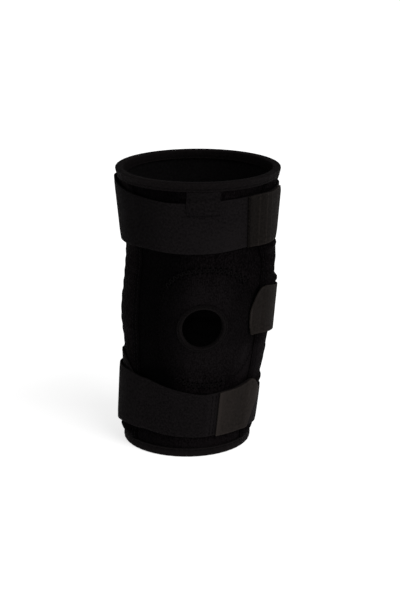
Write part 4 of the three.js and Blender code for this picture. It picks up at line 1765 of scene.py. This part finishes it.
@dataclass
class RimBinding:
    """Tape folded over one end of the sleeve and sewn down."""

    rim: Rim
    flat: Pair
    columns: int = 240
    rows: int = 30
    depth: float = 0.008
    tape: float = 0.0016
    fold: float = 0.0014
    fold_fullness: float = 0.5
    fold_wear: Line = Line(0.55, 0.0018)
    edge_wear: Line = Line(0.35, 0.0006)
    row_depth: float = 0.0063
    row_dip: Line = Line(0.00035, 0.0008)
    row_shade: Line = Line(0.5, 0.0005)
    row_sink: float = 0.0003
    row_samples: int = 400
    pucker: float = 0.00016
    puckers: int = 52
    wide_puckers: int = 31
    wide_share: float = 0.5
    wide_start: float = 1.0
    smoothed: Line = Line(0.5, 0.002)
    paler: float = 0.0

    def height(self, depth: Array) -> Array:
        """Height at a distance from the sleeve's end."""
        return LEG.height - depth if self.rim is Rim.TOP else depth

    def build(self) -> Piece:
        """Folds the tape over the rim.

        Returns:
            The finished tape.
        """
        piece, along, across = cut_swatch(f"{self.rim.value}_binding_tape", self.columns, self.rows)
        if self.rim is Rim.BOTTOM:
            across = 1 - across
        angle = (along - 0.5) * 360
        radius = LEG.wall / 2 + GAP + self.tape
        straight = self.depth - self.fold
        turn_length = np.pi * (radius + self.fold) / 2
        run = across * (2 * straight + turn_length)
        turn = np.clip((run - straight) / turn_length, 0, 1) * np.pi
        inside = np.clip(run - straight - turn_length, 0, None)
        outside = np.clip(straight - run, 0, None)
        depth = self.fold - self.fold * np.sin(turn) + outside + inside
        facing = np.sign(np.cos(turn))
        offset = -LEG.wall / 2 + radius * facing * np.abs(np.cos(turn)) ** self.fold_fullness
        waves = np.sin(np.radians(angle) * self.puckers)
        waves = waves + self.wide_share * np.sin(np.radians(angle) * self.wide_puckers + self.wide_start)
        from_row = depth - self.row_depth
        offset = offset + self.pucker * waves * (1 - self.smoothed.at(depth))
        offset = offset - self.row_dip.at(from_row) * facing
        lay_uv(piece, along * self.flat[1], across * self.flat[0])
        move_points(piece, LEG.sleeve(angle, self.height(depth), offset))
        worn_and_lit = self.fold_wear.at(depth) + self.edge_wear.at(depth - self.depth)
        mark(piece, self.paler + worn_and_lit, self.row_shade.at(from_row))
        sew_edges(piece)
        node = f"{self.rim.value}_binding"
        Cloth(self.tape, TAPE_EDGE, FINISHES.binding).make_up(piece, node)
        return piece

    def sew_down(self) -> Piece:
        """Sews one row of stitches near the tape's edges, outside and inside.

        Returns:
            The stitches.
        """
        angle = np.linspace(-180, 180, self.row_samples)
        z = np.full(angle.shape, self.height(np.array(self.row_depth)))
        face = GAP + self.tape - self.row_sink
        rows = [THREAD.on_sleeve(angle, z, offset) for offset in (face, -LEG.wall - face)]
        return THREAD.sew(f"{self.rim.value}_binding_stitches", rows)

    def make(self) -> None:
        """Makes the tape with its stitches."""
        tape, stitches = self.build(), self.sew_down()


# Slack cloth of the pockets: height, reach up and down, push outwards.
LEFT_SLACK: Rows = ((0.0135, 0.006, 0.0032),)
RIGHT_SLACK: Rows = (
    (0.0135, 0.006, 0.0018),
    (0.0590, 0.008, 0.0026),
    (0.1545, 0.006, 0.0026),
    (0.1895, 0.006, 0.0028),
)


@dataclass
class HingePocket:
    """A side pocket over a hinged stay: cloth sewn to the sleeve along both edges."""

    side: Side
    slack: Rows
    slack_fullness: int = 6
    flat: Pair = (0.046, 0.2425)
    columns: int = 40
    rows: int = 140
    row_insets: Places = (1.5, 4.2)
    row_dip: Line = Line(0.0003, 0.7)
    row_shade: Line = Line(0.85, 0.55)
    row_margin: float = 0.001
    row_samples: int = 260
    edge_roll: Line = Line(0.0009, 0.9)
    edge_wear: Line = Line(0.35, 0.6)
    pucker: float = 0.0006
    pucker_base: float = 0.1
    pucker_share: float = 0.6
    puckered_above: Ramp = Ramp(0.030, 0.070)
    puckered_below: Ramp = Ramp(0.205, 0.175)
    puckered_side: Ramp = Ramp(0.0, 0.9)
    flat_edge: Ramp = Ramp(0.93, 1.0)
    fine_wave: float = 0.0017
    wide_wave: float = 0.0041
    wide_share: float = 0.6
    sway: float = 0.9
    sway_wave: float = 0.013
    slant: float = 1.5
    left_paler: Ramp = Ramp(0.09, 0.11, 0.35)
    front_shade: Ramp = Ramp(6.5, 3.5, 0.65)
    right_highlight: float = 1.8

    @property
    def node(self) -> str:
        """CAD node of the pocket."""
        return f"hinge_pocket_{self.side.name.lower()}"

    def lift(self, angle: Array, z: Array) -> Array:
        """Height of the cloth over the sleeve, with its puckers and sewn-down rows.

        Args:
            angle: Angles round the leg.
            z: Heights.

        Returns:
            Lift for each place.
        """
        inset, across = POCKET.inset(angle), POCKET.across(angle)
        sewn = sum(self.row_dip.at(inset - row) for row in self.row_insets) + self.edge_roll.at(inset)
        slack = sum(out * hump((z - height) / reach) for height, reach, out in self.slack)
        filled = POCKET.lift(angle, z) + slack * (1 - across**self.slack_fullness)
        phase = self.sway * np.sin(z / self.sway_wave + self.side.value) + np.radians(angle) * self.slant
        waves = np.sin(z / self.fine_wave + phase) + self.wide_share * np.sin(z / self.wide_wave - phase)
        knee = self.puckered_above.at(z) * self.puckered_below.at(z)
        side = self.puckered_side.at(across) * (1 - self.flat_edge.at(across))
        puckers = self.pucker * knee * side * (self.pucker_base + self.pucker_share * waves)
        return filled - sewn - puckers

    def build(self) -> Piece:
        """Shapes the pocket's cloth.

        Returns:
            The finished pocket.
        """
        piece, along, across = cut_swatch(f"{self.node}_cloth", self.columns, self.rows)
        angle = self.side.value * POCKET.angle + (2 * along - 1) * POCKET.half_angle
        z = lerp(POCKET.low, POCKET.high, across)
        lay_uv(piece, along * self.flat[0], across * self.flat[1])
        move_points(piece, LEG.sleeve(angle, z, self.lift(angle, z)))
        inset = POCKET.inset(angle)
        if self.side is Side.LEFT:
            front = np.abs(turn_near(angle, 0)) < POCKET.angle
            paler = self.left_paler.at(z)
            shade = front * self.front_shade.at(inset)
        else:
            # Painted highlight on the right pocket, where the light falls.
            paler = self.right_highlight * PILE.painted_highlight(angle, z)
            shade = np.zeros(angle.shape)
        sewn = sum(self.row_shade.at(inset - row) for row in self.row_insets)
        mark(piece, self.edge_wear.at(inset) + paler, np.maximum(sewn, shade))
        cloth = Cloth(POCKET.cloth - CLOTH_EASE, CUT_EDGE, FINISHES.sleeve)
        cloth.make_up(piece, self.node)
        return piece

    def sew_down(self) -> Piece:
        """Sews two rows of stitches along each edge, and their backs on the lining.

        Returns:
            The stitches.
        """
        z = np.linspace(POCKET.low + self.row_margin, POCKET.high - self.row_margin, self.row_samples)
        rows = []
        for edge in (-1, 1):
            for inset in self.row_insets:
                turn = self.side.value * POCKET.angle + edge * (POCKET.half_angle - inset)
                angle = np.full(z.shape, turn)
                rows.append(THREAD.on_sleeve(angle, z, self.lift(angle, z)))
                rows.append(THREAD.on_sleeve(angle, z, -LEG.wall))
        return THREAD.sew(f"{self.node}_stitches", rows)

    def make(self) -> None:
        """Makes the pocket with its stitches, and finishes the stay inside it."""
        cloth, stitches = self.build(), self.sew_down()
        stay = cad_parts[f"hinge_stay_{self.side.name.lower()}"]
        stay.data.materials.clear()
        stay.data.materials.append(FINISHES.metal)
        LOG.info("%s: finished as it is", stay.name)


def lines_across(angle: Array, places: Places, width: float) -> Array:
    """Soft lines across a strap or tab at some angles: 1 on a line, 0 away from all of them."""
    return np.max([np.zeros(angle.shape), *(dent(angle - place, width) for place in places)], axis=0)


@dataclass
class Strap:
    """A flat strap round the leg."""

    name: str
    band: Band
    flat: Pair
    start: float = -180.0
    end: float = 180.0
    columns: int = 260
    rows: int = 18
    crown: Line = Line(0.0003, 0.004)
    ripple: Line = Line(0.0003, 0.009)
    ripples: int = 9
    ripple_start: float = 1.3
    ripple_groups: int = 4
    seams: Places = ()
    seam_dip: float = 0.0004
    seam_width: float = 0.0007
    degree_run: float = 0.0011
    seam_shade: float = 0.3
    seam_samples: int = 60
    edge_wear: Line = Line(0.4, 0.0007)
    wear_and_light: Ramp = Ramp(-70, 30, 0.0)
    light_fade: Ramp = Ramp(0.25, 0.65, 0.6)
    lean_and_shade: Ramp = Ramp(-18, -48, 0.0)

    def build(self) -> Piece:
        """Lays the strap round the leg.

        Returns:
            The finished strap.
        """
        piece, along, across = cut_swatch(f"{self.name}_cloth", self.columns, self.rows)
        angle = lerp(self.start, self.end, along)
        from_edge = np.minimum(across, 1 - across) * self.flat[0]
        turn = np.radians(angle)
        waves = np.sin(turn * self.ripples + self.ripple_start) * np.sin(turn * self.ripple_groups)
        seam = lines_across(angle, self.seams, self.seam_width / self.degree_run)
        over = STRAP_THICKNESS - self.crown.at(from_edge) + waves * self.ripple.at(from_edge)
        lay_uv(piece, along * self.flat[1], across * self.flat[0])
        move_points(piece, self.band.point(angle, across, over - self.seam_dip * seam))
        # Painted light: the upper strap paler towards the lit right and the lower strap paler beside its
        # tab; painted shade at the upper strap's left.
        worn_and_lit = self.wear_and_light.at(angle) * (1 - self.light_fade.at(across))
        shade = np.maximum(self.seam_shade * seam, self.lean_and_shade.at(angle))
        mark(piece, self.edge_wear.at(from_edge) + worn_and_lit, shade)
        if self.end - self.start >= 360:
            sew_edges(piece)
        cloth = Cloth(STRAP_THICKNESS - self.crown.height, STRAP_EDGE, FINISHES.strap)
        cloth.make_up(piece, self.name)
        return piece

    def sew_seams(self) -> list[Piece]:
        """Sews a row of stitches along each seam across the strap.

        Returns:
            The stitches of all the seams as one piece, if there are any.
        """
        share = np.linspace(STITCH_MARGIN, 1 - STITCH_MARGIN, self.seam_samples)
        over = STRAP_THICKNESS - STITCH_SINK
        turns = [np.full(share.shape, seam) for seam in self.seams]
        rows = [DARK_THREAD.on_band(self.band, angle, share, over) for angle in turns]
        return [DARK_THREAD.sew(f"{self.name}_stitches", rows)] if rows else []

    def make(self) -> None:
        """Makes the strap with its stitches."""
        cloth, stitches = self.build(), self.sew_seams()


@dataclass
class Tab:
    """A fastening tab on a strap, with cut or rounded corners at its free end."""

    name: str
    band: Band
    flat: Pair
    start: float
    end: float
    corners: Rows
    lift: float
    rests_on: str
    free_at_start: bool = False
    slant: float = 0.0
    columns: int = 90
    rows: int = 26
    crowding: float = 1.6
    line_width: float = 0.0007
    degree_run: float = 0.0012
    sewn_at: Places = ()
    sewn_dip: float = 0.0004
    sewn_shade: float = 0.8
    sewn_kept: float = 0.3
    sewn_breaks: float = 20.0
    sewn_start: float = 0.9
    sewn_samples: int = 60
    ribs: Places = ()
    rib_rise: float = 0.0002
    rib_highlight: float = 0.6
    rim_highlight: Line = Line(0.5, 0.0010)
    far_rim_highlight: Ramp = Ramp(0.55, 0.80, 1.4)
    wear_and_light: float = 0.0
    end_wear_and_light: float = 0.0
    face_dip: Swell = Swell(0.5, 0.4, 0.0)
    start_highlight: Line = Line(1.1, 0.0014)
    end_highlight: Line = Line(0.0, 0.004)

    @property
    def free_end(self) -> float:
        """Angle of the tab's free end."""
        return self.start if self.free_at_start else self.end

    def turn(self, along: Array, across: Array) -> Array:
        """Angle of a place on the tab, with its slanted end."""
        return along + self.slant * across * np.abs(along - self.free_end) / (self.end - self.start)

    def share(self, angle: Array, across: Array) -> Array:
        """Share of the strap's width that a place on the tab lies at.

        Args:
            angle: Angles before the slant.
            across: Shares of the tab's own width.

        Returns:
            Shares of the strap's width.
        """
        from_free = np.abs(angle - self.free_end)
        width = self.band.high(angle) - self.band.low(angle)
        low = read_table(self.corners, Corner.LOW, from_free)
        high = read_table(self.corners, Corner.HIGH, from_free)
        return lerp(low / width, 1 - high / width, across)

    def wear_and_highlights(self, spread: Array, across: Array) -> Array:
        """How pale the tab is: a tone that changes along its face, and painted highlights along its rim and
        at its ends.

        Args:
            spread: Shares of the tab's length.
            across: Shares of its width.

        Returns:
            Paleness for each place.
        """
        from_edge = np.minimum(across, 1 - across) * self.flat[0]
        face = lerp(self.wear_and_light, self.end_wear_and_light, ease(spread)) - self.face_dip.at(spread)
        # Painted highlights along the rim, brightest at the lit far end, and at the start and end edges.
        rim = self.rim_highlight.at(from_edge) * (1 + self.far_rim_highlight.at(spread))
        start_highlight = 0.0 if self.sewn_at else self.start_highlight.at(spread * self.flat[1])
        return face + rim + start_highlight + self.end_highlight.at((1 - spread) * self.flat[1])

    def build(self) -> Piece:
        """Lays the tab on its strap.

        Returns:
            The finished tab.
        """
        piece, along, across = cut_swatch(f"{self.name}_cloth", self.columns, self.rows)
        spread = along**self.crowding if self.free_at_start else 1 - (1 - along) ** self.crowding
        angle = lerp(self.start, self.end, spread)
        line_width = self.line_width / self.degree_run
        seam = lines_across(angle - self.start, self.sewn_at, line_width)
        rib = lines_across(angle - self.start, self.ribs, line_width)
        over = self.lift + TAB_THICKNESS - self.sewn_dip * seam + self.rib_rise * rib
        lay_uv(piece, spread * self.flat[1], across * self.flat[0])
        move_points(piece, self.band.point(self.turn(angle, across), self.share(angle, across), over))
        broken = lerp(self.sewn_kept, 1, ease(0.5 + np.sin(self.sewn_breaks * across + self.sewn_start)))
        # Painted highlights on the ribs.
        worn_and_lit = self.wear_and_highlights(spread, across) + self.rib_highlight * rib
        mark(piece, worn_and_lit, self.sewn_shade * seam * broken)
        cloth = Cloth(TAB_THICKNESS - CLOTH_EASE, STRAP_EDGE, FINISHES.tab)
        cloth.make_up(piece, self.name)
        return piece

    def sew_down(self) -> list[Piece]:
        """Sews the rows of stitches across the tab.

        Returns:
            The stitches of all the rows as one piece, if there are any.
        """
        across = np.linspace(STITCH_MARGIN, 1 - STITCH_MARGIN, self.sewn_samples)
        over = self.lift + TAB_THICKNESS - STITCH_SINK
        rows = []
        for place in self.sewn_at:
            angle = np.full(across.shape, self.start + place)
            turn, share = self.turn(angle, across), self.share(angle, across)
            rows.append(THREAD.on_band(self.band, turn, share, over))
        return [THREAD.sew(f"{self.name}_stitches", rows)] if rows else []

    def make(self) -> None:
        """Makes the tab with its stitches."""
        cloth, stitches = self.build(), self.sew_down()


@dataclass
class AnchorPatch:
    """Sewn patch that holds the lower strap at the left."""

    flat: Pair = (0.044, 0.080)
    area: float = 0.0029
    columns: int = 56
    rows: int = 30
    edge_wear: Line = Line(0.5, 0.0008)
    row_inset: float = 0.0022
    row_dip: Line = Line(0.0003, 0.0008)
    row_shade: Line = Line(0.6, 0.0006)
    row_margin: float = 2.0
    row_samples: int = 160

    def offset(self, angle: Array, z: Array) -> Array:
        """Height of the patch's outside over the sleeve."""
        return POCKET.under_strap(angle, z) + GAP + ANCHOR_THICKNESS

    def edges(self, angle: Array) -> tuple[Array, Array]:
        """Lower and upper edge at an angle."""
        return read_table(ANCHOR_ROWS, Run.LOW, angle), read_table(ANCHOR_ROWS, Run.HIGH, angle)

    def build(self) -> Piece:
        """Shapes the patch on the pocket and the sleeve.

        Returns:
            The finished patch.
        """
        piece, along, across = cut_swatch("lower_strap_anchor_cloth", self.columns, self.rows)
        angle = lerp(ANCHOR_START, ANCHOR_END, along)
        low, high = self.edges(angle)
        z = lerp(low, high, across)
        from_edge = np.minimum(z - low, high - z)
        from_row = from_edge - self.row_inset
        lay_uv(piece, along * self.flat[1], across * self.flat[0])
        move_points(piece, LEG.sleeve(angle, z, self.offset(angle, z) - self.row_dip.at(from_row)))
        mark(piece, self.edge_wear.at(from_edge), self.row_shade.at(from_row))
        cloth = Cloth(ANCHOR_THICKNESS - CLOTH_EASE, CUT_EDGE, FINISHES.strap)
        cloth.make_up(piece, "lower_strap_anchor")
        return piece

    def sew_down(self) -> Piece:
        """Sews a row of stitches inside the upper edge and inside the lower one.

        Returns:
            The stitches.
        """
        angle = np.linspace(ANCHOR_START + self.row_margin, ANCHOR_END - self.row_margin, self.row_samples)
        low, high = self.edges(angle)
        heights = (low + self.row_inset, high - self.row_inset)
        rows = [THREAD.on_sleeve(angle, z, self.offset(angle, z) - STITCH_SINK) for z in heights]
        return THREAD.sew("lower_strap_anchor_stitches", rows)

    def make(self) -> None:
        """Makes the patch with its stitches."""
        cloth, stitches = self.build(), self.sew_down()


@dataclass
class LabelPatch:
    """Blank sewn patch in front, from the upper strap to the top binding."""

    flat: Pair = (0.0310, 0.0225)
    angle: float = 3.0
    half_angle: float = 12.2
    low: float = 0.229
    high: float = 0.25065
    step: float = 0.004
    thickness: float = 0.0009
    columns: int = 48
    rows: int = 48
    edge_shade: Line = Line(0.7, 0.0009)
    row_inset: float = 0.0014
    row_dip: Line = Line(0.0002, 0.0006)
    row_margin: float = 0.0005
    row_samples: int = 60

    def point(self, angle: Array, z: Array, over: Array | float) -> Array:
        """Points on the patch, which steps down from the strap to the sleeve.

        Args:
            angle: Angles round the leg.
            z: Heights.
            over: Distance over what the patch lies on.

        Returns:
            Points, one a row.
        """
        strap_low, strap_high = UPPER_BAND.low(angle), UPPER_BAND.high(angle)
        share = (z - strap_low) / (strap_high - strap_low)
        on_strap = UPPER_BAND.point(angle, share, STRAP_THICKNESS + GAP + over)
        on_sleeve = LEG.sleeve(angle, z, GAP + over)
        return lerp(on_strap, on_sleeve, ease((z - strap_high - GAP) / self.step)[..., None])

    def build(self) -> Piece:
        """Lays the patch over the strap's edge.

        Returns:
            The finished patch.
        """
        piece, along, across = cut_swatch("label_patch_cloth", self.columns, self.rows)
        angle = self.angle + lerp(-self.half_angle, self.half_angle, along)
        z = lerp(self.low, self.high, across)
        lay_uv(piece, along * self.flat[0], across * self.flat[1])
        from_low = across * self.flat[1]
        from_edge = np.minimum(np.minimum(along, 1 - along) * self.flat[0], from_low)
        sewn = self.row_dip.at(from_edge - self.row_inset)
        move_points(piece, self.point(angle, z, self.thickness - sewn))
        # Painted shadow along the patch's lower edge.
        mark(piece, np.zeros(angle.shape), self.edge_shade.at(from_low))
        cloth = Cloth(self.thickness - WALL_EASE, TAPE_EDGE, FINISHES.strap)
        cloth.make_up(piece, "label_patch")
        return piece

    def sew_down(self) -> Piece:
        """Sews a row of stitches inside the sides and the lower edge.

        Returns:
            The stitches.
        """
        turn = self.half_angle * (1 - 2 * self.row_inset / self.flat[0])
        z = np.linspace(self.low + self.row_inset, self.high - self.row_margin, self.row_samples)
        runs = [(np.full(z.shape, self.angle + side * turn), z) for side in (-1, 1)]
        angle = self.angle + np.linspace(-turn, turn, self.row_samples)
        runs.append((angle, np.full(angle.shape, self.low + self.row_inset)))
        rows = []
        for along, height in runs:
            path = self.point(along, height, self.thickness - WALL_EASE)
            rows.append(FLUSH_THREAD.row(path, LEG.outward(along, height)))
        return FLUSH_THREAD.sew("label_patch_stitches", rows)

    def make(self) -> None:
        """Makes the patch with its stitches."""
        cloth, stitches = self.build(), self.sew_down()


@dataclass
class Studio:
    """Pale floor, soft light and the camera."""

    target: Point = (0.0029, -0.0001, 0.1315)
    azimuth: float = -2.0
    elevation: float = 16.8
    distance: float = 1.6
    lens: float = 103.68
    sensor: float = 36.0
    floor_size: float = 30.0
    floor_tone: float = 0.70
    floor_grain: float = 0.01
    floor_glow: float = 0.72
    sky: float = 0.28
    key_from: Point = (1.5, -1.5, 1.7)
    key_power: float = 1.6
    key_spread: float = 50.0

    def lay_floor(self) -> None:
        """Lays the floor, a wide pale sheet with a very slight grain and glow."""
        clear_selection()
        bpy.ops.mesh.primitive_grid_add(x_subdivisions=2, y_subdivisions=2, size=self.floor_size)
        floor = bpy.context.object
        floor.name = "floor"
        material, tray, shader = start_material("pale_floor")
        place = tray.add("TexCoord").outputs["Object"]
        grain = tray.add("TexNoise", Vector=place, Scale=6.0, Detail=2.0)
        dark, light = (paint((tone,) * 3) for tone in (self.floor_tone, self.floor_tone + self.floor_grain))
        tone = tray.blend(grain.outputs["Fac"], dark, light)
        tray.fill(shader, Base_Color=tone, Roughness=0.9, Specular_IOR_Level=0.0)
        tray.fill(shader, Emission_Color=(1, 1, 1, 1), Emission_Strength=self.floor_glow)
        floor.data.materials.append(material)

    def hang_lights(self) -> None:
        """Sets one wide soft key from the right and an even sky."""
        clear_selection()
        bpy.ops.object.light_add(type="SUN", location=self.key_from)
        key = bpy.context.object
        key.name = "key_light"
        key.data.angle = math.radians(self.key_spread)
        key.data.energy = self.key_power
        key.rotation_euler = (-Vector(self.key_from)).to_track_quat("-Z", "Y").to_euler()
        world = bpy.data.worlds.new("studio_sky")
        world.use_nodes = True
        sky = world.node_tree.nodes["Background"]
        sky.inputs["Color"].default_value = (1, 1, 1, 1)
        sky.inputs["Strength"].default_value = self.sky
        bpy.context.scene.world = world
        bpy.context.scene.view_settings.view_transform = "Standard"

    def set_camera(self) -> None:
        """Sets the camera at its angle, looking at the brace."""
        turn, rise = math.radians(self.azimuth), math.radians(self.elevation)
        back = Vector((math.sin(turn) * math.cos(rise), -math.cos(turn) * math.cos(rise), math.sin(rise)))
        clear_selection()
        bpy.ops.object.camera_add(location=Vector(self.target) + back * self.distance)
        camera = bpy.context.object
        camera.name = "camera"
        camera.rotation_euler = (-back).to_track_quat("-Z", "Y").to_euler()
        camera.data.lens = self.lens
        camera.data.sensor_width = self.sensor
        bpy.context.scene.camera = camera

    def make(self) -> None:
        """Makes the whole studio."""
        self.lay_floor()
        self.hang_lights()
        self.set_camera()


def make_straps() -> None:
    """Makes the straps, their tabs and the sewn patches."""
    on_strap = STRAP_THICKNESS + GAP
    AnchorPatch().make()
    # The paler and darker settings below paint light and shade on the straps and tabs.
    straps = (
        Strap(
            "upper_strap", UPPER_BAND, flat=(0.049, 0.455),
            wear_and_light=Ramp(-70, 30, 0.6), lean_and_shade=Ramp(-18, -48, 0.42),
        ),
        Strap(
            "lower_strap", LOWER_BAND, flat=(0.048, 0.400), seams=(17.2, 20.2), seam_shade=0.05,
            wear_and_light=Ramp(10, 22), light_fade=Ramp(0.25, 0.65, 0.0),
        ),
        Strap(
            "middle_strap", MIDDLE_BAND, flat=(0.049, 0.170), start=96, end=250, columns=120, seams=(248.2,)
        ),
    )
    for strap in straps:
        strap.make()
    tabs = (
        Tab(
            "upper_tab", UPPER_BAND, flat=(0.048, 0.058), start=40.4, end=84, corners=CUT_CORNERS,
            lift=on_strap, rests_on="upper_strap_cloth", slant=-2.2, sewn_at=(0.7,),
            ribs=(9.8, 17.5, 23.2, 32.9), wear_and_light=-0.85, end_wear_and_light=-0.5,
        ),
        Tab(
            "middle_tab", MIDDLE_TAB_BAND, flat=(0.0445, 0.079), start=MIDDLE_TAB_START, end=MIDDLE_TAB_END,
            corners=ROUND_CORNERS, lift=0.0, rests_on="sleeve_cloth", free_at_start=True,
            wear_and_light=-0.33, end_wear_and_light=-0.33,
        ),
        Tab(
            "lower_tab", LOWER_BAND, flat=(0.044, 0.050), start=22.8, end=68, corners=POINTED_CORNERS,
            lift=on_strap, rests_on="lower_strap_cloth", wear_and_light=0.3, end_wear_and_light=0.6,
            face_dip=Swell(0.5, 0.4, 0.6), start_highlight=Line(0.9, 0.003), end_highlight=Line(1.5, 0.004),
        ),
    )
    for tab in tabs:
        tab.make()
    LabelPatch().make()


def main() -> None:
    """Builds the brace, piece by piece, and the studio round it."""
    logging.basicConfig(level=logging.INFO, format="%(name)s: %(message)s")
    Sleeve().make()
    PatellaPanel().make()
    RimBinding(Rim.TOP, flat=(0.0205, 0.450)).make()
    RimBinding(Rim.BOTTOM, flat=(0.0205, 0.355), paler=0.2).make()
    HingePocket(Side.LEFT, slack=LEFT_SLACK).make()
    HingePocket(Side.RIGHT, slack=RIGHT_SLACK).make()
    make_straps()
    Studio().make()


if __name__ == "__main__":
    main()
